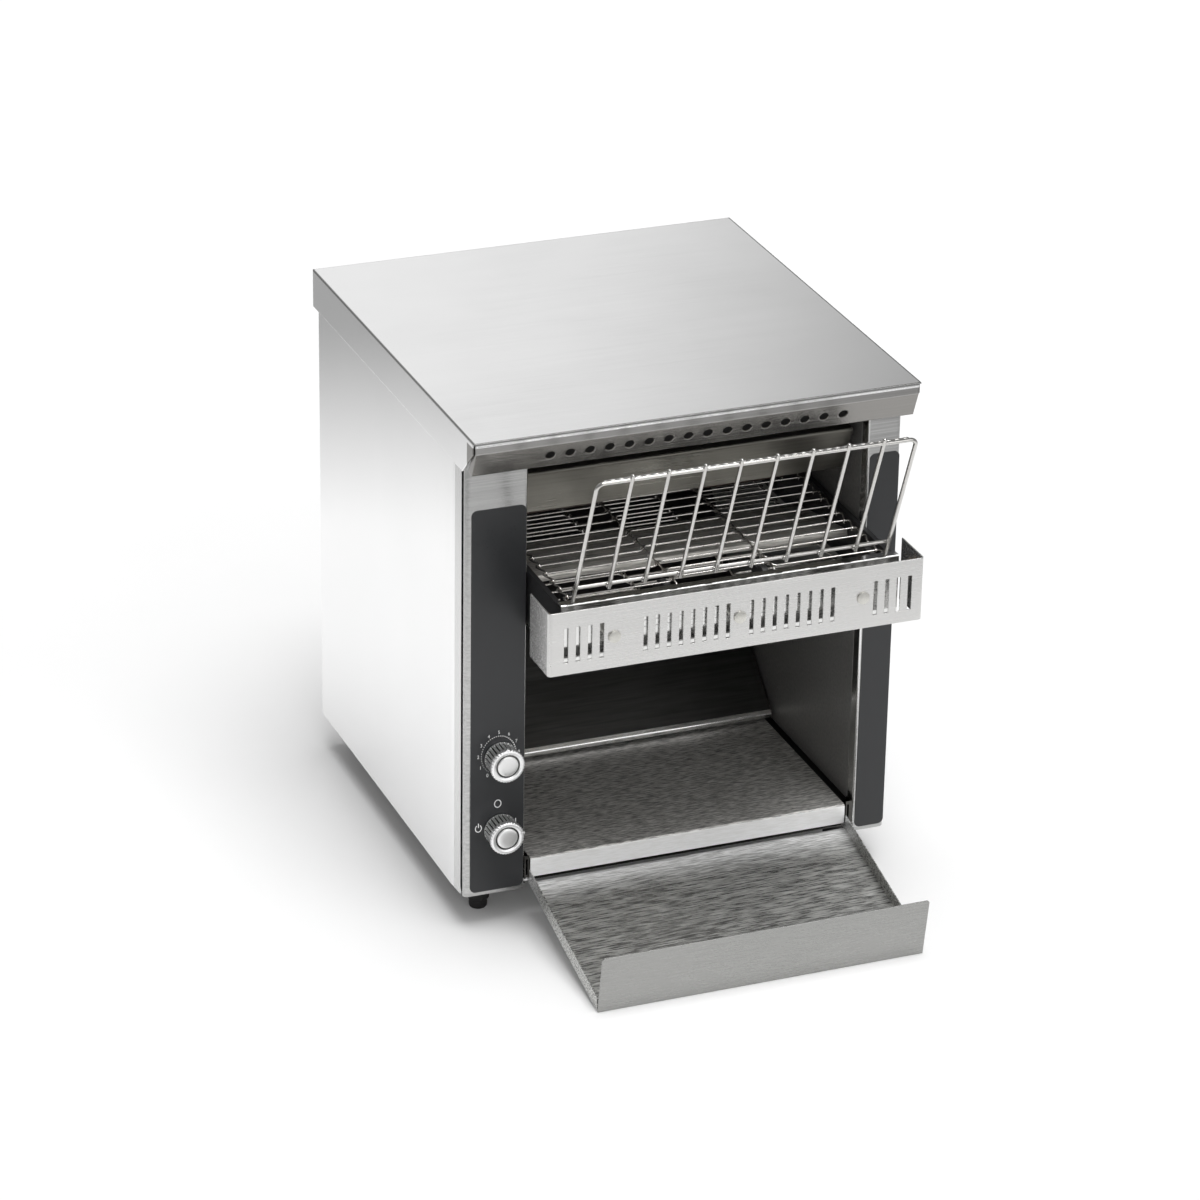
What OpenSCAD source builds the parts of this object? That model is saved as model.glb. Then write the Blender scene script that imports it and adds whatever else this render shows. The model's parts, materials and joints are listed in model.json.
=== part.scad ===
/* [Casing] */
// Width over the hood
casing_w = 368; // [360:0.5:380]
// Height from the underside of the base pan to the top of the hood
casing_h = 399.1; // [395:0.1:410]
// Depth from the faces of the columns to the back panel
shell_d = 347.6; // [345:0.1:360]
// Height of the rubber feet
foot_h = 31.6; // [28:0.1:36]
// Thickness of the stainless sheet
sheet_t = 1; // [0.8:0.1:1.1]
// Reach of the hood in front of the columns
hood_front_over = 25.8; // [22:0.1:28]
// Reach of the hood behind the back panel
hood_rear_over = 10; // [8:0.1:14]
// Height of the hood's side and rear flanges
hood_flange_h = 32.4; // [28:0.1:36]
// Upright drop at the top of the front lip
lip_drop = 9.6; // [8:0.1:11]
// Height of the slanted part of the front lip
lip_fall = 20.6; // [18:0.1:24]
// How far the slanted lip runs back under the hood
lip_back = 9.4; // [7:0.1:11]
// Number of vent holes in the lip
vent_count = 16; // [8:1:18]
// Diameter of a vent hole
vent_d = 7.6; // [5:0.1:9]
// Distance between vent holes
vent_pitch = 16.1; // [14:0.1:18]

/* [Columns] */
// Width of the control column
control_column_w = 51.9; // [50:0.1:54]
// Width of the other column
plain_column_w = 30; // [28:0.1:32]
// Depth of the folded column edges beside the opening
column_fold = 10.7; // [9:0.1:12]
// Radius of the outer bend of a column
column_bend_r = 4; // [2:0.1:5]
// Thickness of the overlays
overlay_t = 0.5; // [0.3:0.1:0.8]
// Corner radius of the overlays
overlay_r = 4.7; // [3:0.1:6]
// Width of the control overlay
control_overlay_w = 44.4; // [40:0.1:46]
// Width of the plain overlay
plain_overlay_w = 25.2; // [20:0.1:26]
// Height of the overlays
overlay_h = 329; // [320:0.5:335]
// Height of an overlay's lower edge above the column's lower edge
overlay_lift = 3.2; // [2:0.1:5]

/* [Knobs] */
// Diameter of the serrated cap of a knob
knob_d = 28.5; // [24:0.1:32]
// Diameter of a knob's fluted body
knob_body_d = 26.4; // [20:0.1:27]
// Length of a knob
knob_l = 18.4; // [15:0.1:22]
// Thickness of a knob's cap
knob_cap_t = 5; // [3:0.1:6]
// Height of the speed knob above the base pan
speed_knob_z = 120.1; // [110:0.1:130]
// Height of the power knob above the base pan
power_knob_z = 57; // [50:0.1:65]
// Diameter of a knob's spindle
spindle_d = 6; // [5:0.1:6.4]

/* [Conveyor] */
// Height of the shafts above the base pan
conveyor_z = 251.7; // [248:0.1:254]
// Pitch of the belt's cross wires
belt_pitch = 15; // [14.8:0.05:15.2]
// Depth of the shell that the whole pitches between the shafts leave free
belt_free_d = 25; // [18:0.5:32]
// Gap between the belt and the opening's edge, on either side
belt_side_gap = 8.75; // [8.25:0.05:16.75]
// Thickness of the belt's cross wires
wire_d = 2; // [1.6:0.1:2.2]
// Diameter of the conveyor shafts
shaft_d = 10; // [8:0.1:12]
// Height of the conveyor's side plates
rail_h = 44; // [42:0.1:46]
// Thickness of the conveyor's side plates
rail_t = 1.5; // [1:0.1:1.6]
// Gap between a conveyor side plate and the inner wall
rail_gap = 1.6; // [1.2:0.1:2]
// Reach of the conveyor's front channel in front of the columns
channel_reach = 68.7; // [67:0.1:72]
// Depth of the front channel's upper flange
channel_top_d = 8; // [7:0.1:8.6]
// Depth of the front channel's lower flange
channel_pan_d = 100; // [60:1:110]

/* [Guard] */
// Reach of the guard past the opening, on either side
guard_over = 13.55; // [8.25:0.05:18.25]
// Height of the guard
guard_h = 52.6; // [48:0.1:54]
// Depth of the guard's side returns
guard_return = 40; // [30:0.1:44]
// Distance from the front channel to the guard's face
guard_stand = 14; // [10:0.1:18]
// Bend radius at the guard's corners
guard_bend_r = 3; // [2:0.1:5]
// Length of a guard slot
slot_l = 29; // [24:0.1:34]
// Width of a guard slot
slot_w = 3.3; // [2.6:0.1:5]
// Distance between neighbouring slots, as a share of the guard's width
slot_pitch_share = 0.0312; // [0.029:0.0001:0.0319]
// Distance between the guard's screws, as a share of the guard's width
guard_screw_share = 0.332; // [0.322:0.001:0.338]
// Width across the flats of a guard screw
guard_screw_af = 9; // [7:0.1:10]

/* [Rack] */
// Thickness of the rack's wire
rack_wire_d = 3.3; // [2.8:0.1:3.6]
// Gap between the rack's end wires and the opening's edge
rack_side_gap = 12.25; // [10.75:0.05:21.75]
// Number of wires between the end wires
rack_wires = 8; // [4:1:8]
// Distance between neighbouring rack wires, as a share of the rack's width
rack_pitch_share = 0.1125; // [0.093:0.0005:0.115]
// Length of the rack above the front channel
rack_l = 125.5; // [110:0.5:127]
// Lean of the rack from upright, in degrees
rack_lean = 21.8; // [18:0.1:24]
// Bend radius at the rack's top corners
rack_bend_r = 6; // [4:0.1:12]

/* [Chamber and trays] */
// Height of the chamber floor above the base pan's underside
floor_z = 26; // [25:0.1:27.5]
// Height of the crumb tray's front lip
crumb_lip_h = 17; // [15:0.1:17.4]
// Gap between the crumb tray and the opening's edge, on either side
crumb_side_gap = 6.05; // [6.05:0.05:8]
// Depth of the crumb tray
crumb_d = 250; // [230:1:260]
// Reach of the discharge tray in front of the columns
tray_reach = 160.4; // [155:0.1:165]
// Gap between the discharge tray and the opening's edge, on either side
tray_side_gap = 4.65; // [4.25:0.05:4.65]
// Height of the discharge tray's side walls
tray_wall_h = 12; // [9:0.1:13]
// Height of the discharge tray's front flap
flap_h = 51; // [45:0.1:52]
// Lean of the flap at its upper edge
flap_lean = 8.1; // [4:0.1:12]
// Height of the discharge tray's rear end above the table
tray_rear_z = 35.6; // [35:0.1:35.8]

/* [Heating] */
// Diameter of a heating element
element_d = 8; // [6:0.1:8.5]
// Distance between the elements above the belt, as a share of the shell's depth
upper_pitch_share = 0.2158; // [0.19:0.0002:0.22]
// Height of the upper elements above the shafts
upper_rise = 62; // [56:0.5:66]
// Distance between the two elements inside the belt loop
lower_pitch = 70; // [50:1:80]

/* [Drive] */
// Pitch of the drive chain
chain_pitch = 6.35; // [6:0.01:6.4]
// Chain pitches between the two chain sprockets
chain_links = 12; // [10:1:13]
// Size of the gear motor's square gearbox
gearbox_w = 58; // [50:1:60]
// Thickness of the gearbox
gearbox_t = 28; // [24:0.5:29]
// Diameter of the motor
motor_d = 30; // [26:0.5:32]
// Length of the motor
motor_l = 70; // [50:1:75]
// Size of the square cooling fan
fan_w = 40; // [38:1:41]
// Thickness of the cooling fan
fan_t = 15; // [12:0.5:20]

/* [Hidden] */
$fn = 32;

// Overrun of every cut past the face it opens
overrun = 1;
// Clearance between curved faces of different pieces
clear = 0.3;
// Running clearance of a shaft in its bore, on the radius
run_fit = 0.05;
// Gap between sheets that are screwed together
lap = 0.2;

// Main planes
side_x = casing_w / 2 - sheet_t - clear;
face_y = tray_reach - (tray_reach + shell_d + hood_rear_over) / 2;
back_y = face_y + shell_d;
hood_back_y = back_y + hood_rear_over;
hood_front_y = face_y - hood_front_over;
base_z = foot_h;
top_z = foot_h + casing_h;
under_hood_z = top_z - sheet_t - clear;
opening_left = -side_x + control_column_w;
opening_right = side_x - plain_column_w;
opening_x = (opening_left + opening_right) / 2;
opening_w = opening_right - opening_left;
belt_w = opening_w - 2 * belt_side_gap;
guard_w = opening_w + 2 * guard_over;
slot_pitch = slot_pitch_share * guard_w;
guard_screw_pitch = guard_screw_share * guard_w;
rack_w = opening_w - 2 * rack_side_gap;
rack_pitch = rack_pitch_share * rack_w;
crumb_w = opening_w - 2 * crumb_side_gap;
tray_w = opening_w - 2 * tray_side_gap;
wall_y = face_y + column_fold + clear;
wall_back_y = back_y - 8 * sheet_t;
wall_z = base_z + sheet_t;

// Bent front margin of the side panels
margin_start = 24;
margin_end = 7.9;
margin_in = 1.05;
column_inset = 1.5;
rear_return = 7.5;

// Conveyor
shaft_z = base_z + conveyor_z;
belt_teeth = 8;
belt_pitches = floor((shell_d - belt_free_d) / belt_pitch);
belt_r = belt_pitch / (2 * sin(180 / belt_teeth));
channel_y = face_y - channel_reach;
belt_front_gap = 1.4;
idler_y = channel_y + sheet_t + clear + wire_d / 2 + belt_r + belt_front_gap;
drive_y = idler_y + belt_pitches * belt_pitch;
rail_out = opening_w / 2 - rail_gap;
rail_in = rail_out - rail_t;
rail_low_z = shaft_z - rail_h / 2;
rail_top_z = shaft_z + rail_h / 2;
rail_flange = 4.5;
rail_front_y = channel_y + sheet_t;
rail_back_y = drive_y + belt_r + 2 * wire_d;
belt_path_n = 2 * belt_pitches + belt_teeth;
lane_shares = [-0.5, -0.155, 0.155, 0.5];
lane_t = 1.6;
belt_off = 2;
belt_x = opening_x + belt_off;
lanes = [for (s = lane_shares) belt_x + s * (belt_w - 2 * lane_t)];
sprocket_t = 5;
sprocket_off = 7;
sprocket_xs = [lanes[0] + sprocket_off, lanes[1] - sprocket_off, lanes[2] - sprocket_off,
    lanes[3] - sprocket_off];
turn_gap = 0.35;
seat_gap = 0.9;

// Elements
upper_z = shaft_z + upper_rise;
upper_back = 100;
upper_pitch = upper_pitch_share * shell_d;
upper_ys = [for (i = [0:2]) face_y + upper_back + i * upper_pitch];
lower_back = 75;
lower_ys = [drive_y - lower_back - lower_pitch / 2, drive_y - lower_back + lower_pitch / 2];
bush_wall = 3;
bush_r = element_d / 2 + bush_wall;
bush_flange_w = 2;
bush_flange_r = bush_r + bush_flange_w;
bush_flange_t = 2;
element_overhang = 9;

// Drive
drive_gap = 13;
drive_x = opening_left - sheet_t - drive_gap;
chain_teeth = 12;
chain_r = chain_pitch / (2 * sin(180 / chain_teeth));
motor_z = shaft_z - chain_links * chain_pitch;
sprocket_plate_t = 2.6;
chain_roller_r = 1.6;
chain_plate_t = 0.8;
chain_plate_h = 5.2;
motor_shaft_d = 8;

function unit(v) = v / norm(v);
function left_of(v) = [-v[1], v[0]];
// A point of a path moved sideways by t, mitred at the corners
function moved(p, i, t) = let (
    last = len(p) - 1,
    a = left_of(unit(i > 0 ? p[i] - p[i - 1] : p[1] - p[0])),
    b = left_of(unit(i < last ? p[i + 1] - p[i] : p[last] - p[last - 1])))
    p[i] + (a + b) * t / (1 + a * b);
// The outline of a sheet of thickness t bent along a path
function bent(p, t) = concat(p, [for (i = [len(p) - 1:-1:0]) moved(p, i, t)]);
// The points of a round bend of radius r at corner b, between a and c
function bend(a, b, c, r, steps) = let (
    u = unit(a - b), v = unit(c - b), half = acos(u * v) / 2,
    centre = b + unit(u + v) * r / sin(half),
    from = b + u * r / tan(half) - centre, to = b + v * r / tan(half) - centre,
    start = atan2(from[1], from[0]),
    turn = atan2(from[0] * to[1] - from[1] * to[0], from * to))
    [for (k = [0:steps]) centre + r * [cos(start + turn * k / steps), sin(start + turn * k / steps)]];
// A path with each inner corner rounded to its own radius
function rounded(p, radii, steps = 4) = concat([p[0]],
    [for (i = [1:len(p) - 2]) each bend(p[i - 1], p[i], p[i + 1], radii[i - 1], steps)],
    [p[len(p) - 1]]);
// Point k of the belt's path, anticlockwise from above the idler shaft, as [y, z]
function belt_point(k) =
    k <= belt_pitches ? [idler_y + k * belt_pitch, shaft_z + belt_r] :
    k < belt_pitches + belt_teeth / 2 ? let (a = 90 - (k - belt_pitches) * 360 / belt_teeth)
        [drive_y + belt_r * cos(a), shaft_z + belt_r * sin(a)] :
    k <= 2 * belt_pitches + belt_teeth / 2 ?
        [drive_y - (k - belt_pitches - belt_teeth / 2) * belt_pitch, shaft_z - belt_r] :
    let (a = 270 - (k - 2 * belt_pitches - belt_teeth / 2) * 360 / belt_teeth)
        [idler_y + belt_r * cos(a), shaft_z + belt_r * sin(a)];

// A box between two corners
module box(low, high) {
    translate(low) cube(high - low);
}
// Children drawn in Y and Z, drawn out along X
module along_x(x0, x1) {
    translate([x0, 0, 0]) rotate([90, 0, 90]) linear_extrude(x1 - x0) children();
}
// Children drawn in X and Z, drawn out along Y
module along_y(y0, y1) {
    translate([0, y1, 0]) rotate([90, 0, 0]) linear_extrude(y1 - y0) children();
}
// Children drawn in X and Y, drawn out along Z
module along_z(z0, z1) {
    translate([0, 0, z0]) linear_extrude(z1 - z0) children();
}
module rod_x(x0, x1, y, z, r) {
    translate([x0, y, z]) rotate([0, 90, 0]) cylinder(r = r, h = x1 - x0);
}
module rod_y(y0, y1, x, z, r) {
    translate([x, y1, z]) rotate([90, 0, 0]) cylinder(r = r, h = y1 - y0);
}
module rod_z(z0, z1, x, y, r) {
    translate([x, y, z0]) cylinder(r = r, h = z1 - z0);
}
module ring_x(x0, x1, y, z, r_in, r_out) {
    difference() {
        rod_x(x0, x1, y, z, r_out);
        rod_x(x0 - overrun, x1 + overrun, y, z, r_in);
    }
}
// A flat rectangle with round corners, from its lower left corner
module round_rect(w, h, r) {
    translate([r, 0]) square([w - 2 * r, h]);
    translate([0, r]) square([w, h - 2 * r]);
    for (x = [r, w - r], y = [r, h - r]) translate([x, y]) circle(r);
}

lip_angle = 90 - atan(lip_back / lip_fall);
flange_front_gap = 2.6;
flange_cut = 25.9;
lip_inset = 1.5;
lip_fold = 3.2;
lip_tab = 7;
lip_tab_up = 1.5;
lip_end = casing_w / 2 - lip_inset;
lip_low_z = top_z - lip_drop - lip_fall;
module hood() {
    color("silver") {
        box([-casing_w / 2, hood_front_y, top_z - sheet_t], [casing_w / 2, hood_back_y, top_z]);
        for (x = [-casing_w / 2, casing_w / 2 - sheet_t]) {
            along_x(x, x + sheet_t) polygon([
                [hood_back_y, top_z - sheet_t],
                [hood_front_y + flange_front_gap, top_z - sheet_t],
                [hood_front_y + flange_front_gap, top_z - lip_drop],
                [hood_front_y + flange_cut, top_z - hood_flange_h],
                [hood_back_y, top_z - hood_flange_h]]);
        }
        box([-casing_w / 2, hood_back_y - sheet_t, top_z - hood_flange_h],
            [casing_w / 2, hood_back_y, top_z]);
        box([-lip_end, hood_front_y, top_z - lip_fold], [lip_end, hood_front_y + sheet_t, top_z]);
        for (x = [-lip_end, lip_end - sheet_t]) along_x(x, x + sheet_t) polygon([
            [hood_front_y + sheet_t, top_z - lip_drop],
            [hood_front_y + lip_back, lip_low_z],
            [hood_front_y + lip_back + lip_tab, lip_low_z + lip_tab_up],
            [hood_front_y + lip_tab, top_z - lip_drop]]);
        difference() {
            along_x(-lip_end, lip_end) polygon(bent([
                [hood_front_y + sheet_t, top_z],
                [hood_front_y + sheet_t, top_z - lip_drop],
                [hood_front_y + lip_back, lip_low_z]], sheet_t));
            for (i = [0:vent_count - 1]) {
                translate([(i - (vent_count - 1) / 2) * vent_pitch,
                    hood_front_y + lip_back / 2, top_z - lip_drop - lip_fall / 2])
                rotate([-lip_angle, 0, 0])
                cylinder(d = vent_d, h = 4 * (sheet_t + overrun), center = true);
            }
        }
    }
}

// The right side panel in plan
module side_plan() {
    polygon(bent([
        [side_x - rear_return, back_y - sheet_t],
        [side_x, back_y - sheet_t],
        [side_x, face_y + margin_start],
        [side_x - margin_in, face_y + margin_end]], -sheet_t));
}
module right_side_panel() {
    color("silver") along_z(base_z, under_hood_z) side_plan();
}
module left_side_panel() {
    color("silver") mirror([1, 0, 0]) along_z(base_z, under_hood_z) side_plan();
}

vent_slot_l = 60;
vent_slot_w = 4;
vent_rows = 7;
vent_row_pitch = 12;
vent_low_z = 200;
inlet_w = 28;
inlet_h = 22;
inlet_up = 30;
inlet_z = base_z + inlet_up;
compartment_off = 2.2;
compartment_x = (opening_left - side_x) / 2 + compartment_off;
fan_up = 90;
fan_z = base_z + fan_up;
back_screw_in = 4;
back_screw_low = 55;
back_screw_zs = [base_z + back_screw_low, base_z + casing_h / 2, top_z - back_screw_low];
back_screw_r = 2;
module back_panel() {
    color("silver") difference() {
        box([-side_x, back_y - sheet_t, base_z], [side_x, back_y, under_hood_z]);
        for (row = [0:vent_rows - 1], x = [opening_x - vent_slot_l * 1.6,
            opening_x - vent_slot_l / 2, opening_x + vent_slot_l * 0.6]) {
            translate([x, 0, base_z + vent_low_z + row * vent_row_pitch])
            along_y(back_y - sheet_t - overrun, back_y + overrun)
            round_rect(vent_slot_l, vent_slot_w, vent_slot_w / 2.1);
        }
        rod_y(back_y - sheet_t - overrun, back_y + overrun, compartment_x, fan_z, fan_bore_r);
        box([compartment_x - inlet_w / 2, back_y - sheet_t - overrun, inlet_z - inlet_h / 2],
            [compartment_x + inlet_w / 2, back_y + overrun, inlet_z + inlet_h / 2]);
        for (s = [-1, 1], z = back_screw_zs) {
            rod_y(back_y - sheet_t - overrun, back_y + overrun,
                s * (side_x - back_screw_in), z, back_screw_r + clear);
        }
    }
}

screw_head_t = 2;
module back_panel_screws() {
    color("gray") for (s = [-1, 1], z = back_screw_zs) {
        rod_y(back_y - sheet_t, back_y + screw_head_t / 2, s * (side_x - back_screw_in), z,
            back_screw_r);
        rod_y(back_y, back_y + screw_head_t, s * (side_x - back_screw_in), z, 1.5 * back_screw_r);
    }
}

pan_flange_h = 15;
pan_back_y = back_y - 2 * sheet_t - clear;
foot_inset_x = 27.7;
foot_front_inset = 39.4;
foot_rear_inset = 40;
foot_xs = [-side_x + foot_inset_x, side_x - foot_inset_x];
foot_ys = [face_y + foot_front_inset, back_y - foot_rear_inset];
foot_r = 7.2;
foot_collar_r = 9;
foot_collar_z = 9.5;
foot_screw_r = 2;
foot_head_r = 3.8;
foot_sink = 8;
module base_pan() {
    edge = side_x - sheet_t - lap;
    pan_front_y = face_y + margin_start + clear;
    color("gray") difference() {
        union() {
            box([margin_in - edge, wall_y, base_z], [edge - margin_in, pan_back_y, base_z + sheet_t]);
            box([-edge, pan_front_y, base_z], [edge, pan_back_y, base_z + sheet_t]);
            for (x = [-edge, edge - sheet_t]) {
                box([x, pan_front_y, base_z], [x + sheet_t, pan_back_y, base_z + pan_flange_h]);
            }
        }
        for (x = foot_xs, y = foot_ys) {
            rod_z(base_z - overrun, base_z + sheet_t + overrun, x, y, foot_screw_r + clear);
        }
    }
}
module feet() {
    color("black") for (x = foot_xs, y = foot_ys) translate([x, y, 0]) rotate_extrude() polygon([
        [foot_head_r + clear, 0],
        [foot_r - sheet_t, 0],
        [foot_r, sheet_t],
        [foot_r, foot_collar_z * 0.75],
        [foot_collar_r, foot_collar_z],
        [foot_collar_r, foot_h],
        [foot_screw_r + clear, foot_h],
        [foot_screw_r + clear, foot_sink],
        [foot_head_r + clear, foot_sink]]);
}
module foot_screws() {
    color("gray") for (x = foot_xs, y = foot_ys) {
        rod_z(foot_sink - screw_head_t, base_z + sheet_t, x, y, foot_screw_r);
        rod_z(foot_sink - screw_head_t, foot_sink, x, y, foot_head_r);
    }
}

// A column in plan: folded at the opening's edge, rounded at the outer edge
column_outer_fold = 4.5;
column_inner_r = 1.6;
module column_plan(inner, outer, side) {
    polygon(bent(rounded([
        [inner, face_y + column_fold],
        [inner, face_y],
        [outer, face_y],
        [outer, face_y + column_outer_fold]], [column_inner_r, column_bend_r]), side * sheet_t));
}
knob_off = 4.8;
knob_x = (opening_left - side_x) / 2 + knob_off;
knob_zs = [base_z + speed_knob_z, base_z + power_knob_z];
bushing_r = 4.5;
module knob_holes(y0, y1) {
    for (z = knob_zs) rod_y(y0, y1, knob_x, z, bushing_r + clear);
}
module control_column() {
    color("silver") difference() {
        along_z(base_z, under_hood_z) column_plan(opening_left, column_inset - side_x, -1);
        knob_holes(face_y - overrun, face_y + column_fold);
    }
}
module plain_column() {
    color("silver") along_z(base_z, under_hood_z) column_plan(opening_right, side_x - column_inset, 1);
}
overlay_edge = 1.1;
plain_overlay_edge = 2.3;
module control_overlay() {
    color("#2b2c2e") difference() {
        translate([opening_left - overlay_edge - control_overlay_w, 0, base_z + overlay_lift])
        along_y(face_y - overlay_t, face_y) round_rect(control_overlay_w, overlay_h, overlay_r);
        knob_holes(face_y - overlay_t - overrun, face_y + overrun);
    }
}
module plain_overlay() {
    color("#2b2c2e")
    translate([opening_right + plain_overlay_edge, 0, base_z + overlay_lift])
    along_y(face_y - overlay_t, face_y) round_rect(plain_overlay_w, overlay_h, overlay_r);
}

// Inner walls stand on the base pan and carry the chamber, conveyor and elements
wall_top_z = under_hood_z - 4 * sheet_t;
drive_hole_r = 13;
module wall_holes(x0, x1) {
    for (y = upper_ys) rod_x(x0, x1, y, upper_z, bush_r + clear / 2);
    for (y = lower_ys) rod_x(x0, x1, y, shaft_z, bush_r + clear / 2);
    rod_x(x0, x1, drive_y, shaft_z, drive_hole_r);
}
module left_inner_wall() {
    color("dimgray") difference() {
        box([opening_left - sheet_t, wall_y, wall_z], [opening_left, wall_back_y, wall_top_z]);
        wall_holes(opening_left - sheet_t - overrun, opening_left + overrun);
    }
}
module right_inner_wall() {
    color("dimgray") difference() {
        box([opening_right, wall_y, wall_z], [opening_right + sheet_t, wall_back_y, wall_top_z]);
        wall_holes(opening_right - overrun, opening_right + sheet_t + overrun);
    }
}

roof_drop = 24;
roof_z = under_hood_z - roof_drop;
module roof_plate() {
    color("gray") box([opening_left + lap, wall_y, roof_z - sheet_t],
        [opening_right - lap, wall_back_y, roof_z]);
}
insulation_front = 20;
module insulation() {
    color("wheat") box([opening_left + 2 * lap, wall_y + insulation_front, roof_z],
        [opening_right - 2 * lap, wall_back_y - clear, wall_top_z]);
}

reflector_drop = 22;
reflector_gap = 12;
module upper_reflector() {
    front = upper_ys[0] - upper_pitch / 2;
    rear = upper_ys[len(upper_ys) - 1] + upper_pitch / 2;
    color("silver") along_x(opening_left + lap, opening_right - lap) polygon(bent([
        [front - reflector_gap, roof_z - sheet_t],
        [front - reflector_gap, upper_z + reflector_gap + reflector_drop / 2],
        [front, upper_z + reflector_gap],
        [rear, upper_z + reflector_gap],
        [rear + reflector_gap / 2, upper_z + reflector_gap + reflector_drop / 2],
        [rear + reflector_gap / 2, roof_z - sheet_t]], sheet_t));
}

// A heat shield inside the belt loop, just behind the mouth
shield_gap = 50;
shield_up = 6.7;
shield_d = 96;
shield_fall = 18;
shield_hem = 5;
module lower_deflector() {
    y = idler_y + belt_r + shield_gap;
    z = shaft_z + shield_up;
    color("silver") along_x(opening_x - rail_in + lap, opening_x + rail_in - lap) polygon(bent(rounded([
        [y - sheet_t, z - shield_hem],
        [y, z],
        [y + shield_d, z - shield_fall]], [2 * sheet_t]), -sheet_t));
}

deflector_top_d = 11;
deflector_front = 14.1;
deflector_drop = 22.7;
deflector_h = 39.3;
deflector_back = 15.5;
deflector_short = 6.2;
module upper_deflector() {
    y = face_y + deflector_front;
    z = roof_z - sheet_t - deflector_drop;
    color("silver") along_x(opening_left + lap, opening_right - deflector_short) polygon(bent(rounded([
        [y + deflector_top_d, z + deflector_drop],
        [y + deflector_top_d, z],
        [y, z],
        [y + deflector_back, z - deflector_h]], [2 * sheet_t, 2 * sheet_t]), sheet_t));
}

slide_top_gap = 7;
slide_low_y = 157.8;
slide_low_z = 32.8;
slide_mid_y = 203.8;
slide_mid_z = 73.6;
slide_bend_z = 203.4;
slide_edge_drop = 3.9;
slide_edge_back = 1;
slide_edge_r = 1.5;
slide_bend_r = 20;
slide_notch_w = 3.2;
slide_notch_z = 160;
module toast_slide() {
    y = wall_back_y - slide_top_gap;
    color("dimgray") difference() {
        along_x(opening_left + lap, opening_right - lap) polygon(bent(rounded([
            [y, shaft_z + belt_r],
            [y, base_z + slide_bend_z],
            [face_y + slide_mid_y, base_z + slide_mid_z],
            [face_y + slide_low_y, base_z + slide_low_z],
            [face_y + slide_low_y + slide_edge_back, base_z + slide_low_z - slide_edge_drop]],
            [slide_bend_r, slide_bend_r, slide_edge_r]), sheet_t));
        for (x = [opening_left + lap, opening_right - lap]) {
            box([x - slide_notch_w, face_y, base_z],
                [x + slide_notch_w, wall_back_y, base_z + slide_notch_z]);
        }
    }
}

trays_aside = 1;
crumb_bend_r = 2;
module crumb_tray() {
    z = base_z + floor_z;
    y = face_y - 0.8 * sheet_t;
    x = opening_x - trays_aside;
    color("dimgray") along_x(x - crumb_w / 2, x + crumb_w / 2) polygon(bent(rounded([
        [y, z - crumb_lip_h],
        [y, z],
        [y + crumb_d, z]], [crumb_bend_r]), -sheet_t));
}
runner_w = 10;
module tray_runner_plan(inner, side) {
    z = base_z + floor_z - sheet_t - clear;
    along_x_gap = lap;
    box([min(inner + side * along_x_gap, inner + side * runner_w), wall_y, z - sheet_t],
        [max(inner + side * along_x_gap, inner + side * runner_w), face_y + crumb_d, z]);
    box([min(inner + side * along_x_gap, inner + side * (along_x_gap + sheet_t)), wall_y, wall_z],
        [max(inner + side * along_x_gap, inner + side * (along_x_gap + sheet_t)), face_y + crumb_d, z]);
}
module tray_runners() {
    color("gray") {
        tray_runner_plan(opening_left, 1);
        tray_runner_plan(opening_right, -1);
    }
}

// Hanger brackets beside the crumb tray's lip; each carries a pin of the discharge tray
bracket_t = 1.2;
bracket_low = 3;
bracket_high = 28;
pin_r = 1.5;
pin_up = 6;
pin_back = 3;
pin_z = base_z + pin_up;
pin_y = face_y + pin_back;
bracket_front = 4;
tab_w = 3.9;
tab_low = 9;
tab_slot = 1.6;
tab_slot_low = 11;
tab_slot_high = 25;
module tray_bracket(reach) {
    inner = rail_out + rail_gap - lap;
    slot_x = inner - reach + tab_w / 2;
    difference() {
        union() {
            along_x(inner - bracket_t, inner) translate([face_y - lap, base_z + bracket_low])
                round_rect(column_fold, bracket_high - bracket_low, bracket_front / 1.2);
            box([inner - reach, face_y - lap, base_z + tab_low],
                [inner, face_y - lap + sheet_t, base_z + bracket_high]);
        }
        rod_x(inner - bracket_t - overrun, inner + overrun, pin_y, pin_z, pin_r + clear);
        box([inner - bracket_t - overrun, face_y - 2 * sheet_t, pin_z - pin_r - clear],
            [inner + overrun, pin_y, pin_z + pin_r + clear]);
        box([slot_x - tab_slot / 2, face_y - 2 * sheet_t, base_z + tab_slot_low],
            [slot_x + tab_slot / 2, face_y + 2 * sheet_t, base_z + tab_slot_high]);
    }
}
module tray_brackets() {
    color("silver") translate([opening_x, 0, 0]) {
        tray_bracket(tab_w + 1.8 * trays_aside);
        mirror([1, 0, 0]) tray_bracket(tab_w);
    }
}

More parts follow.
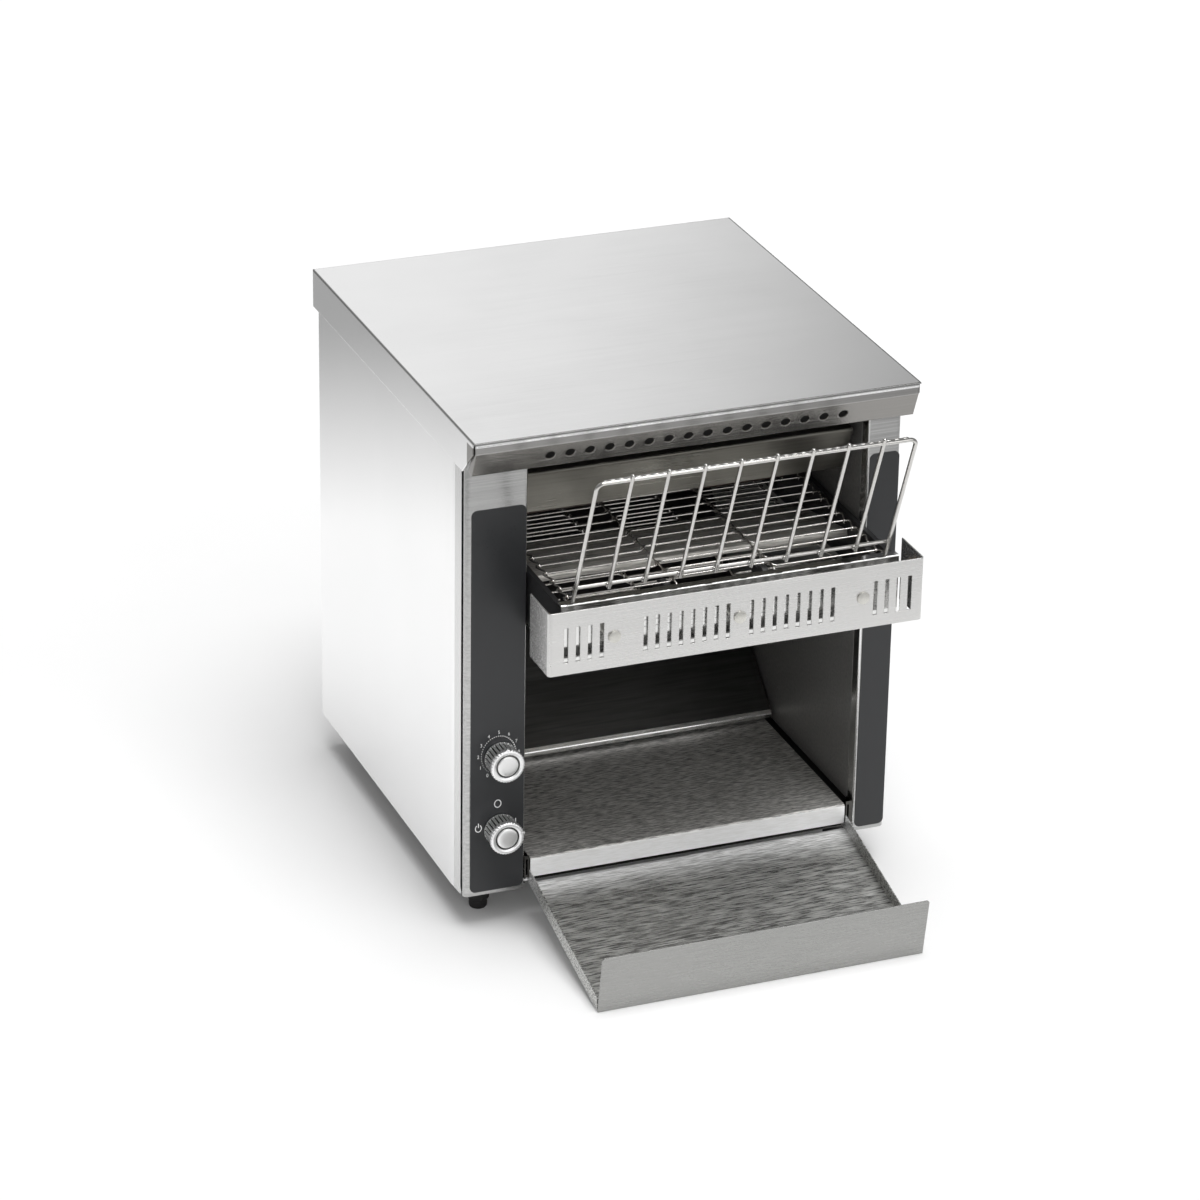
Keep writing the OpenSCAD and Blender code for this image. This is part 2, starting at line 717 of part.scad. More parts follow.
// The discharge tray slopes from under the crumb tray's lip down to the table
tray_front_y = face_y - tray_reach + flap_lean;
tray_rear_gap = 1.6;
tray_rear_y = face_y - tray_rear_gap;
tray_rest = 0.3;
flap_r = 2.5;
pin_cheek = 1;
module flap_corner(x, side) {
    translate([x, 0, tray_rest + flap_h]) rotate([90, 0, 0])
        linear_extrude(2 * tray_reach) difference() {
            square(2 * flap_r, center = true);
            translate([-side * flap_r, -flap_r]) circle(flap_r);
        }
}
module discharge_tray() {
    left = opening_x - trays_aside - tray_w / 2;
    right = left + tray_w;
    cheek_z = base_z + floor_z - crumb_lip_h - pin_cheek;
    color("silver") {
        difference() {
            along_x(left, right) polygon(bent([
                [tray_front_y - flap_lean + sheet_t, tray_rest + flap_h],
                [tray_front_y + sheet_t, tray_rest + sheet_t],
                [tray_rear_y, tray_rear_z + sheet_t]], -sheet_t));
            flap_corner(left, -1);
            flap_corner(right, 1);
        }
        for (x = [left, right - sheet_t]) {
            along_x(x, x + sheet_t) polygon([
                [tray_front_y + 2 * sheet_t, tray_rest],
                [tray_front_y + 2 * sheet_t, tray_rest + tray_wall_h],
                [tray_rear_y, tray_rear_z + tray_wall_h],
                [tray_rear_y, cheek_z],
                [pin_y + 2 * pin_r, cheek_z],
                [pin_y + 2 * pin_r, tray_rear_z + sheet_t / 2],
                [tray_rear_y, tray_rear_z]]);
        }
        rod_x(opening_left + lap, left + sheet_t / 2, pin_y, pin_z, pin_r);
        rod_x(right - sheet_t / 2, opening_right - lap, pin_y, pin_z, pin_r);
    }
}

module rail_plan(side) {
    out = opening_x + side * rail_out;
    inn = opening_x + side * rail_in;
    tip = opening_x + side * (rail_out - rail_flange);
    difference() {
        union() {
            box([min(out, inn), rail_front_y, rail_low_z], [max(out, inn), rail_back_y, rail_top_z]);
            box([min(out, tip), rail_front_y, rail_top_z - rail_t],
                [max(out, tip), rail_back_y, rail_top_z]);
        }
        for (y = [idler_y, drive_y]) {
            rod_x(min(out, inn) - overrun, max(out, inn) + overrun, y, shaft_z, shaft_bush_r + clear / 2);
        }
        for (y = lower_ys) {
            rod_x(min(out, inn) - overrun, max(out, inn) + overrun, y, shaft_z, bush_r + clear);
        }
    }
}
module left_conveyor_rail() {
    color("#222222") rail_plan(-1);
}
module right_conveyor_rail() {
    color("#222222") rail_plan(1);
}
spacer_r = 7;
spacer_rise = 12;
spacer_ys = [wall_y + 2 * spacer_r, drive_y - 3 * spacer_r];
module conveyor_spacers() {
    color("gray") for (y = spacer_ys, z = [shaft_z - spacer_rise, shaft_z + spacer_rise]) {
        rod_x(opening_left, opening_x - rail_out, y, z, spacer_r);
        rod_x(opening_x + rail_out, opening_right, y, z, spacer_r);
    }
}

channel_low = 1.8;
module front_channel() {
    z0 = rail_low_z - channel_low;
    z1 = rail_top_z + 2.5 * sheet_t;
    color("silver") difference() {
        along_x(opening_x - rail_out, opening_x + rail_out) polygon(bent(rounded([
            [channel_y + channel_top_d, z1],
            [channel_y, z1],
            [channel_y, z0],
            [channel_y + channel_pan_d, z0]], [1.5 * sheet_t, 1.5 * sheet_t]), sheet_t));
        for (i = [-1:1]) {
            rod_y(channel_y - overrun, channel_y + sheet_t + overrun,
                guard_x + i * guard_screw_pitch, guard_mid_z, guard_screw_r + clear);
        }
        for (s = [-1, 1]) {
            translate([opening_x + s * rack_w / 2, rack_foot_y, rack_foot_z])
            rotate([rack_lean, 0, 0])
            cylinder(d = rack_wire_d + 2 * clear, h = 8 * rack_wire_d, center = true);
        }
    }
}

guard_y = channel_y - guard_stand;
guard_t = 1.2;
guard_off = 1.1;
guard_x = opening_x + guard_off;
guard_drop = 4.8;
guard_low_z = rail_low_z - guard_drop;
guard_mid_z = guard_low_z + guard_h / 2;
guard_screw_r = 2.5;
// Slot groups as [number of slots, place of the group's centre as a share of the guard's width]
slot_drop = 1.8;
slot_group_shares = [[4, -0.4075], [8, -0.1365], [8, 0.1445], [4, 0.416]];
module guard() {
    half = guard_w / 2;
    color("silver") difference() {
        along_z(guard_low_z, guard_low_z + guard_h) polygon(bent(rounded([
            [opening_x - half, guard_y + guard_return],
            [opening_x - half, guard_y],
            [opening_x + half, guard_y],
            [opening_x + half, guard_y + guard_return]], [guard_bend_r, guard_bend_r]), guard_t));
        for (g = slot_group_shares, i = [0:g[0] - 1]) {
            x = opening_x + g[1] * guard_w + (i - (g[0] - 1) / 2) * slot_pitch;
            box([x - slot_w / 2, guard_y - overrun, guard_mid_z - slot_drop - slot_l / 2],
                [x + slot_w / 2, guard_y + guard_t + overrun, guard_mid_z - slot_drop + slot_l / 2]);
        }
        for (i = [-1:1]) {
            rod_y(guard_y - overrun, guard_y + guard_t + overrun,
                guard_x + i * guard_screw_pitch, guard_mid_z, guard_screw_r + clear);
        }
    }
}
guard_head_t = 1.6;
module guard_screws() {
    color("gray") for (i = [-1:1]) {
        x = guard_x + i * guard_screw_pitch;
        rod_y(guard_y - guard_head_t, channel_y + 2 * sheet_t, x, guard_mid_z, guard_screw_r);
        translate([x, guard_y, guard_mid_z]) rotate([90, 0, 0]) rotate([0, 0, 30])
            cylinder(d = guard_screw_af / cos(30), h = guard_head_t, $fn = 6);
    }
}
module guard_spacers() {
    color("gray") for (i = [-1:1]) {
        x = guard_x + i * guard_screw_pitch;
        difference() {
            rod_y(guard_y + guard_t, channel_y, x, guard_mid_z, 2 * guard_screw_r);
            rod_y(guard_y + guard_t - overrun, channel_y + overrun, x, guard_mid_z,
                guard_screw_r + clear);
        }
    }
}

// The rack stands in the channel's upper flange and leans outwards
rack_foot_gap = 2.4;
rack_foot_y = channel_y + sheet_t + rack_foot_gap;
rack_foot_z = rail_top_z + 2.5 * sheet_t;
rack_leg = 7;
rack_bar_up = 12.8;
rack_tip = 4;
module rack_rod(x, from, to) {
    translate([x, 0, from]) cylinder(d = rack_wire_d, h = to - from);
}
module rack_bar(z, y, half) {
    translate([-half, y, z]) rotate([0, 90, 0]) cylinder(d = rack_wire_d, h = 2 * half);
}
module bread_rack() {
    half = rack_w / 2;
    color("silver") translate([opening_x, rack_foot_y, rack_foot_z]) rotate([rack_lean, 0, 0]) {
        for (s = [-1, 1]) {
            rack_rod(s * half, -rack_leg, rack_l - rack_bend_r);
            translate([s * (half - rack_bend_r), 0, rack_l - rack_bend_r]) rotate([90, 0, 0])
            mirror([s < 0 ? 1 : 0, 0, 0])
            rotate_extrude(angle = 90) translate([rack_bend_r, 0]) circle(d = rack_wire_d, $fn = 16);
        }
        rack_bar(rack_l, 0, half - rack_bend_r);
        rack_bar(rack_l - rack_wire_d / 2, rack_wire_d * 0.8, half - rack_bend_r);
        rack_bar(rack_bar_up, rack_wire_d * 0.8, half);
        for (i = [0:rack_wires - 1]) {
            translate([0, -rack_wire_d * 0.1, 0]) rack_rod((i - (rack_wires - 1) / 2) * rack_pitch,
                rack_bar_up - rack_tip / 2, rack_l + rack_tip);
        }
    }
}

module wire_belt() {
    n = belt_path_n;
    ring = [for (k = [0:n - 1]) belt_point(k)];
    color("silver") {
        for (p = ring) translate([belt_x, p[0], p[1]]) rotate([0, 90, 0])
            cylinder(d = wire_d, h = belt_w, center = true, $fn = 8);
        for (x = lanes) along_x(x - lane_t / 2, x + lane_t / 2) difference() {
            union() {
                for (y = [idler_y, drive_y]) translate([y, shaft_z]) circle(belt_r + wire_d / 4);
                translate([idler_y, shaft_z - belt_r - wire_d / 4])
                    square([drive_y - idler_y, 2 * belt_r + wire_d / 2]);
            }
            for (y = [idler_y, drive_y]) translate([y, shaft_z]) circle(belt_r - wire_d * 0.42);
            translate([idler_y, shaft_z - belt_r + wire_d * 0.42])
                square([drive_y - idler_y, 2 * belt_r - wire_d * 0.84]);
        }
    }
}

// A toothed wheel: a disc with a notch for each belt wire, turning clear of the wires
module belt_sprocket(x, y) {
    difference() {
        rod_x(x - sprocket_t / 2, x + sprocket_t / 2, y, shaft_z, belt_r - wire_d / 2 - turn_gap);
        rod_x(x - sprocket_t, x + sprocket_t, y, shaft_z, shaft_d / 2 + run_fit);
        for (k = [0:belt_teeth - 1]) {
            a = k * 360 / belt_teeth;
            rod_x(x - sprocket_t, x + sprocket_t, y + belt_r * cos(a), shaft_z + belt_r * sin(a),
                wire_d / 2 + seat_gap);
        }
    }
}
module drive_belt_sprockets() {
    color("#333333") for (x = sprocket_xs) belt_sprocket(x, drive_y);
}
module idler_belt_sprockets() {
    color("#333333") for (x = sprocket_xs) belt_sprocket(x, idler_y);
}
shaft_end = 4;
module drive_shaft() {
    color("gray") rod_x(drive_x - 2 * sprocket_plate_t, opening_x + rail_out + shaft_end,
        drive_y, shaft_z, shaft_d / 2);
}
module idler_shaft() {
    color("gray") rod_x(opening_x - rail_out, opening_x + rail_out, idler_y, shaft_z, shaft_d / 2);
}
shaft_bush_wall = 3;
shaft_bush_r = shaft_d / 2 + shaft_bush_wall;
module shaft_bushes() {
    color("tan") for (y = [idler_y, drive_y], side = [-1, 1]) {
        mirror_x = opening_x + side * rail_out;
        inner = opening_x + side * (rail_in - 2 * rail_t);
        seat = opening_x + side * rail_in;
        ring_x(min(mirror_x, inner), max(mirror_x, inner), y, shaft_z,
            shaft_d / 2 + run_fit, shaft_bush_r);
        ring_x(min(seat, inner), max(seat, inner), y, shaft_z,
            shaft_d / 2 + run_fit, shaft_bush_r + 2 * rail_t);
    }
}

module toothed_plate(y, z, bore) {
    difference() {
        rod_x(drive_x - sprocket_plate_t / 2, drive_x + sprocket_plate_t / 2, y, z,
            chain_r - chain_roller_r - turn_gap);
        rod_x(drive_x - sprocket_plate_t, drive_x + sprocket_plate_t, y, z, bore + run_fit);
        for (k = [0:chain_teeth - 1]) {
            a = k * 360 / chain_teeth;
            rod_x(drive_x - sprocket_plate_t, drive_x + sprocket_plate_t, y + chain_r * cos(a),
                z + chain_r * sin(a), chain_roller_r + seat_gap);
        }
    }
}
module chain_sprocket() {
    color("dimgray") toothed_plate(drive_y, shaft_z, shaft_d / 2);
}
module motor_sprocket() {
    color("dimgray") toothed_plate(drive_y, motor_z, motor_shaft_d / 2);
}
module chain_side(x) {
    along_x(x, x + chain_plate_t) difference() {
        union() {
            for (z = [shaft_z, motor_z]) translate([drive_y, z]) circle(chain_r + chain_plate_h / 2);
            translate([drive_y - chain_r - chain_plate_h / 2, motor_z])
                square([2 * chain_r + chain_plate_h, shaft_z - motor_z]);
        }
        for (z = [shaft_z, motor_z]) translate([drive_y, z]) circle(chain_r - chain_plate_h / 2);
        translate([drive_y - chain_r + chain_plate_h / 2, motor_z])
            square([2 * chain_r - chain_plate_h, shaft_z - motor_z]);
    }
}
module drive_chain() {
    half = sprocket_plate_t / 2 + clear;
    color("gray") {
        chain_side(drive_x - half - chain_plate_t);
        chain_side(drive_x + half);
        for (s = [-1, 1], k = [0:chain_links]) {
            rod_x(drive_x - half - chain_plate_t, drive_x + half + chain_plate_t,
                drive_y + s * chain_r, motor_z + k * chain_pitch, chain_roller_r);
        }
        for (k = [1:chain_teeth / 2 - 1]) {
            a = k * 360 / chain_teeth;
            rod_x(drive_x - half - chain_plate_t, drive_x + half + chain_plate_t,
                drive_y + chain_r * cos(a), shaft_z + chain_r * sin(a), chain_roller_r);
            rod_x(drive_x - half - chain_plate_t, drive_x + half + chain_plate_t,
                drive_y + chain_r * cos(a), motor_z - chain_r * sin(a), chain_roller_r);
        }
    }
}
gearbox_gap = 6;
gearbox_x = drive_x - gearbox_gap;
shaft_seat = 14;
gearbox_cut = 18;
motor_off = 10;
module motor_shaft() {
    color("gray") rod_x(gearbox_x - shaft_seat, drive_x + 2 * sprocket_plate_t, drive_y, motor_z,
        motor_shaft_d / 2);
}
module gear_motor() {
    color("dimgray") difference() {
        union() {
            box([gearbox_x - gearbox_t, drive_y - gearbox_w / 2, motor_z - gearbox_w / 2],
                [gearbox_x, drive_y + gearbox_w / 2 - gearbox_cut, motor_z + gearbox_w / 2]);
            rod_z(motor_z - gearbox_w / 2 - motor_l, motor_z - gearbox_w / 2,
                gearbox_x - gearbox_t / 2 - sheet_t, drive_y - motor_off, motor_d / 2);
        }
        rod_x(gearbox_x - shaft_seat - sheet_t, gearbox_x + overrun, drive_y, motor_z,
            motor_shaft_d / 2 + run_fit);
    }
}
post_r = 3;
post_in = 6;
module motor_posts() {
    far = gearbox_w / 2 - post_in;
    ys = [drive_y - far, drive_y + far - gearbox_cut];
    color("silver") for (y = ys, z = [motor_z - far, motor_z + far]) {
        rod_x(gearbox_x, opening_left - sheet_t, y, z, post_r);
    }
}

module element(y, z) {
    rod_x(opening_left - sheet_t - element_overhang, opening_right + sheet_t + element_overhang,
        y, z, element_d / 2);
}
module upper_element_front() {
    color("gray") element(upper_ys[0], upper_z);
}
module upper_element_middle() {
    color("gray") element(upper_ys[1], upper_z);
}
module upper_element_rear() {
    color("gray") element(upper_ys[len(upper_ys) - 1], upper_z);
}
module lower_element_front() {
    color("gray") element(lower_ys[0], shaft_z);
}
module lower_element_rear() {
    color("gray") element(lower_ys[1], shaft_z);
}
module element_bushes() {
    color("white") for (p = concat([for (y = upper_ys) [y, upper_z]], [for (y = lower_ys) [y, shaft_z]])) {
        for (side = [-1, 1]) {
            face = side < 0 ? opening_left : opening_right;
            out = face + side * (sheet_t + bush_flange_t);
            flange = face + side * sheet_t;
            ring_x(min(face, out), max(face, out), p[0], p[1], element_d / 2 + run_fit, bush_r);
            ring_x(min(flange, out), max(flange, out), p[0], p[1], element_d / 2 + run_fit,
                bush_flange_r);
        }
    }
}

// A knob: fluted body on a thin skirt, serrated cap with a groove round its disc, and a pointer
knob_gap = 0.6;
flutes = 30;
serrations = 36;
flute_r = 0.9;
serration_r = 0.8;
skirt_t = 1.4;
disc_r = 8.5;
groove_w = 1.3;
groove_depth = 1.4;
pointer_w = 2.4;
pointer_out = 0.8;
spindle_depth = 12;
module knob(z, turned) {
    front = face_y - overlay_t - knob_gap - knob_l;
    back = face_y - overlay_t - knob_gap;
    difference() {
        union() {
            rod_y(front + knob_cap_t, back, knob_x, z, knob_body_d / 2);
            rod_y(front, front + knob_cap_t, knob_x, z, knob_d / 2);
            translate([knob_x, 0, z]) rotate([0, turned, 0])
                box([-pointer_w / 2, front + sheet_t, disc_r + groove_w + sheet_t],
                    [pointer_w / 2, front + knob_cap_t, knob_d / 2 + pointer_out]);
        }
        for (k = [0:flutes - 1]) {
            a = k * 360 / flutes;
            rod_y(front + knob_cap_t, back - skirt_t, knob_x + knob_body_d / 2 * cos(a),
                z + knob_body_d / 2 * sin(a), flute_r);
        }
        for (k = [0:serrations - 1]) {
            a = (k + 1 / 2) * 360 / serrations;
            rod_y(front - overrun, front + knob_cap_t - sheet_t, knob_x + knob_d / 2 * cos(a),
                z + knob_d / 2 * sin(a), serration_r);
        }
        difference() {
            rod_y(front - overrun, front + groove_depth, knob_x, z, disc_r + groove_w);
            rod_y(front - 2 * overrun, front + 2 * groove_depth, knob_x, z, disc_r);
        }
        rod_y(back - spindle_depth, back + overrun, knob_x, z, spindle_d / 2 + run_fit);
    }
}
power_turned = 78;
module speed_knob() {
    color("silver") knob(knob_zs[0], 0);
}
module power_knob() {
    color("silver") knob(knob_zs[1], power_turned);
}
// A rotary control: a body behind the column and a bushing through it, bored for the spindle
spindle_seat = 8;
module rotary(z, w, h, depth) {
    behind = face_y + sheet_t;
    difference() {
        union() {
            box([knob_x - w / 2, behind, z - h / 2], [knob_x + w / 2, behind + depth, z + h / 2]);
            rod_y(face_y - overlay_t, behind + sheet_t, knob_x, z, bushing_r);
        }
        rod_y(face_y - overlay_t - overrun, behind + spindle_seat + sheet_t, knob_x, z,
            spindle_d / 2 + run_fit);
    }
}
module spindle(z) {
    back = face_y - overlay_t - knob_gap;
    rod_y(back - spindle_depth + clear, face_y + sheet_t + spindle_seat, knob_x, z, spindle_d / 2);
}
module speed_spindle() {
    color("gray") spindle(knob_zs[0]);
}
module power_spindle() {
    color("gray") spindle(knob_zs[1]);
}
control_w = 26;
control_h = 26;
control_d = 14;
module speed_control() {
    color("darkgreen") rotary(knob_zs[0], control_w, control_h, control_d);
}
module power_switch() {
    color("#303030") rotary(knob_zs[1], control_w, 1.3 * control_h, 2 * control_d);
}

fan_y = back_y - sheet_t - fan_t;
hub_r = 9;
fan_rim = 2;
fan_bore_r = fan_w / 2 - fan_rim;
blade_gap = 1.2;
blade_r = fan_bore_r - blade_gap;
blades = 7;
blade_t = 1.4;
blade_pitch = 38;
arm_w = 3;
pivot_r = 2;
module cooling_fan_frame() {
    color("#202020") {
        difference() {
            box([compartment_x - fan_w / 2, fan_y, fan_z - fan_w / 2],
                [compartment_x + fan_w / 2, fan_y + fan_t, fan_z + fan_w / 2]);
            rod_y(fan_y - overrun, fan_y + fan_t + overrun, compartment_x, fan_z, fan_bore_r);
        }
        difference() {
            union() {
                box([compartment_x - fan_w / 2 + sheet_t, fan_y, fan_z - arm_w / 2],
                    [compartment_x + fan_w / 2 - sheet_t, fan_y + 2 * sheet_t, fan_z + arm_w / 2]);
                box([compartment_x - arm_w / 2, fan_y, fan_z - fan_w / 2 + sheet_t],
                    [compartment_x + arm_w / 2, fan_y + 2 * sheet_t, fan_z + fan_w / 2 - sheet_t]);
                rod_y(fan_y, fan_y + 2 * sheet_t, compartment_x, fan_z, hub_r);
            }
            rod_y(fan_y - overrun, fan_y + 3 * sheet_t, compartment_x, fan_z, pivot_r + run_fit);
        }
    }
}
module cooling_fan_rotor() {
    color("#181818") {
        rod_y(fan_y + sheet_t, fan_y + fan_t - 2 * sheet_t, compartment_x, fan_z, pivot_r);
        rod_y(fan_y + 3 * sheet_t, fan_y + fan_t - sheet_t, compartment_x, fan_z, hub_r);
        for (k = [0:blades - 1]) {
            translate([compartment_x, fan_y + fan_t / 2 + sheet_t / 2, fan_z])
            rotate([0, k * 360 / blades, 0])
            translate([hub_r - sheet_t, 0, 0]) rotate([blade_pitch, 0, 0])
            translate([0, -fan_t / 3.6, -blade_t / 2])
            cube([blade_r - hub_r, fan_t / 1.8, blade_t]);
        }
    }
}
// A wire guard over the fan's outlet, with its feet on the back panel
guard_rings = 3;
guard_wire = 1.6;
guard_step = 6;
module fan_guard() {
    reach = guard_rings * guard_step + guard_wire;
    color("silver") translate([compartment_x, 0, fan_z]) along_y(back_y, back_y + guard_wire) {
        for (k = [1:guard_rings]) difference() {
            circle(k * guard_step + guard_wire / 2);
            circle(k * guard_step - guard_wire / 2);
        }
        for (a = [45, 135]) rotate(a) translate([-reach, -guard_wire / 2])
            square([2 * reach, guard_wire]);
    }
}
inlet_d = 22;
inlet_flange = 3;
module power_inlet() {
    color("#1c1c1c") difference() {
        union() {
            box([compartment_x - inlet_w / 2 + clear, back_y - inlet_d, inlet_z - inlet_h / 2 + clear],
                [compartment_x + inlet_w / 2 - clear, back_y + sheet_t, inlet_z + inlet_h / 2 - clear]);
            box([compartment_x - inlet_w / 2 - inlet_flange, back_y, inlet_z - inlet_h / 2 - inlet_flange],
                [compartment_x + inlet_w / 2 + inlet_flange, back_y + 2 * sheet_t,
                    inlet_z + inlet_h / 2 + inlet_flange]);
        }
        box([compartment_x - inlet_w / 2 + inlet_flange, back_y - inlet_d + inlet_flange,
                inlet_z - inlet_h / 2 + inlet_flange],
            [compartment_x + inlet_w / 2 - inlet_flange, back_y + 3 * sheet_t,
                inlet_z + inlet_h / 2 - inlet_flange]);
    }
}

hood();
left_side_panel();
right_side_panel();
back_panel();
base_pan();
control_column();
plain_column();
control_overlay();
plain_overlay();
feet();
foot_screws();
back_panel_screws();
left_inner_wall();
right_inner_wall();
roof_plate();
insulation();
upper_reflector();
lower_deflector();
upper_deflector();
toast_slide();
crumb_tray();
tray_runners();
tray_brackets();
discharge_tray();
left_conveyor_rail();
right_conveyor_rail();
conveyor_spacers();
front_channel();
guard();
guard_screws();
guard_spacers();
bread_rack();
wire_belt();
drive_shaft();
drive_belt_sprockets();
idler_shaft();
idler_belt_sprockets();
shaft_bushes();
chain_sprocket();
motor_sprocket();
motor_shaft();
drive_chain();
gear_motor();
motor_posts();
upper_element_front();
upper_element_middle();
upper_element_rear();
lower_element_front();
lower_element_rear();
element_bushes();
speed_knob();
power_knob();
speed_spindle();
power_spindle();
speed_control();
power_switch();
cooling_fan_frame();
cooling_fan_rotor();
fan_guard();
power_inlet();
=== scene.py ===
import json
import math

import bmesh
import bpy
from mathutils import Matrix, Vector


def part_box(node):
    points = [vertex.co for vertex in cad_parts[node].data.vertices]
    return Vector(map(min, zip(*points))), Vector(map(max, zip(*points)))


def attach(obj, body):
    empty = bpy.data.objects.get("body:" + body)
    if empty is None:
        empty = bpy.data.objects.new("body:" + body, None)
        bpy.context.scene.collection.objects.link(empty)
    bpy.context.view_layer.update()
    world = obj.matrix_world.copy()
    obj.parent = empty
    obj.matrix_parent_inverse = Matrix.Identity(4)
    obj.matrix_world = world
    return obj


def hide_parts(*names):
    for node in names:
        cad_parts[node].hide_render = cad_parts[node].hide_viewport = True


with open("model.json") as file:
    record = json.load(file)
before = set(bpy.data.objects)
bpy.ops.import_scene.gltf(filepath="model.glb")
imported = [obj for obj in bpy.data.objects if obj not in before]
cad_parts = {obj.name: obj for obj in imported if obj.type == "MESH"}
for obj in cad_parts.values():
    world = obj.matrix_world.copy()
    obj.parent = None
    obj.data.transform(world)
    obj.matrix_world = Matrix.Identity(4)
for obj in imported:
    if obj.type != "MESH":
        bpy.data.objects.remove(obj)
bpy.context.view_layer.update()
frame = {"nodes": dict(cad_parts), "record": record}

NODES = frame["nodes"]
MM = 0.001
TAU = 2 * math.pi
X, Y, Z = 0, 1, 2


# ---------------------------------------------------------------- camera
# The camera solved from the photo: its axes, its place in metres and its lens in mm.
RIGHT = Vector((0.93087415, -0.36500563, 0.01562708))
UP = Vector((0.14177752, 0.40033563, 0.90533448))
BACK = RIGHT.cross(UP)
EYE = Vector((-1.30876, -3.19041, 1.83454))
cam_data = bpy.data.cameras.new("photo_camera")
cam_data.sensor_width = 36
cam_data.lens = 142.68
cam_data.clip_start = 0.1
cam_data.clip_end = 60
camera = bpy.data.objects.new("photo_camera", cam_data)
bpy.context.scene.collection.objects.link(camera)
camera.matrix_world = Matrix([(RIGHT[i], UP[i], BACK[i], EYE[i]) for i in range(3)] + [(0, 0, 0, 1)])
bpy.context.scene.camera = camera


# ---------------------------------------------------------------- shader helpers
# Texture scales are in features per metre, lengths in metres. Nearly all of a noise texture's values lie
# between NOISE_LOW and NOISE_HIGH.
NOISE_LOW, NOISE_HIGH = 0.3, 0.7
MASK_SOFT = 0.0004
EDGE_SAMPLES = 6
CLOUD_SCALE = 7
SCRATCH_ALONG, SCRATCH_ACROSS = 3, 2600
ACROSS_THE_GRAIN = 0.25


class Graph:
    """A material's node tree with short calls for nodes and links."""

    def __init__(self, name):
        self.material = bpy.data.materials.new(name)
        self.material.use_nodes = True
        self.tree = self.material.node_tree
        self.tree.nodes.clear()
        self.out = self.new("OutputMaterial")
        self.bsdf = self.new("BsdfPrincipled")
        self.link(self.bsdf.outputs[0], self.out.inputs[0])

    def new(self, kind, **values):
        node = self.tree.nodes.new("ShaderNode" + kind)
        for key, value in values.items():
            setattr(node, key, value)
        return node

    def link(self, a, b):
        self.tree.links.new(a, b)

    def feed(self, socket, value):
        """Links an output to the socket, or sets the socket's own value."""
        if hasattr(value, "is_output"):
            self.link(value, socket)
        else:
            socket.default_value = value

    def put(self, node, **values):
        for key, value in values.items():
            self.feed(node.inputs[key.replace("_", " ")], value)

    def coords(self, scale=(1, 1, 1)):
        """The object's own coordinates times scale."""
        tex = self.new("TexCoord")
        mapping = self.new("Mapping")
        mapping.inputs["Scale"].default_value = scale
        self.link(tex.outputs["Object"], mapping.inputs["Vector"])
        return mapping.outputs[0]

    def noise(self, scale, detail, roughness):
        """Noise of one scale, or of one scale for each axis."""
        vector = self.coords(scale if isinstance(scale, tuple) else (scale,) * 3)
        node = self.new("TexNoise")
        self.put(node, Vector=vector, Scale=1, Detail=detail, Roughness=roughness)
        return node.outputs["Fac"]

    def span(self, value, from_low, from_high, low, high):
        """value with from_low..from_high stretched to low..high and held there outside."""
        node = self.new("MapRange")
        for socket, v in zip(node.inputs, (value, from_low, from_high, low, high)):
            self.feed(socket, v)
        return node.outputs[0]

    def swing(self, noise, low, high):
        """A noise texture stretched to low..high."""
        return self.span(noise, NOISE_LOW, NOISE_HIGH, low, high)

    def math(self, op, a, b):
        node = self.new("Math", operation=op)
        self.feed(node.inputs[0], a)
        self.feed(node.inputs[1], b)
        return node.outputs[0]

    def mix(self, fac, a, b):
        node = self.new("Mix", data_type="RGBA")
        self.feed(node.inputs[0], fac)
        for socket, v in ((node.inputs[6], a), (node.inputs[7], b)):
            self.feed(socket, v if hasattr(v, "is_output") else (*v, 1))
        return node.outputs[2]

    def where(self, axis, edge_low, edge_high):
        """0 below edge_low and 1 above edge_high along an object axis."""
        apart = self.new("SeparateXYZ")
        self.link(self.coords(), apart.inputs[0])
        return self.span(apart.outputs[axis], edge_low, edge_high, 0, 1)

    def below(self, axis, edge_low, edge_high):
        """1 below edge_low and 0 above edge_high along an object axis."""
        return self.math("SUBTRACT", 1.0, self.where(axis, edge_low, edge_high))

    def within(self, axis, low, high):
        """1 between low and high along an object axis."""
        return self.math("MULTIPLY", self.where(axis, low - MASK_SOFT, low),
                         self.below(axis, high, high + MASK_SOFT))

    def bump(self, height, strength, distance, edge=0.0):
        """Relief of the surface; edge is the radius by which edges are shaded round."""
        node = self.new("Bump")
        if edge:
            rounded = self.new("Bevel", samples=EDGE_SAMPLES)
            self.put(rounded, Radius=edge)
            self.link(rounded.outputs[0], node.inputs["Normal"])
        self.put(node, Strength=strength, Distance=distance, Height=height)
        self.link(node.outputs[0], self.bsdf.inputs["Normal"])


def shade(colour, by):
    return tuple(max(0.0, min(1.0, c * by)) for c in colour)


def stretched(grain, along, across):
    """Texture scale that is coarse along one axis and fine across it."""
    return tuple(along if i == grain else across for i in range(3))


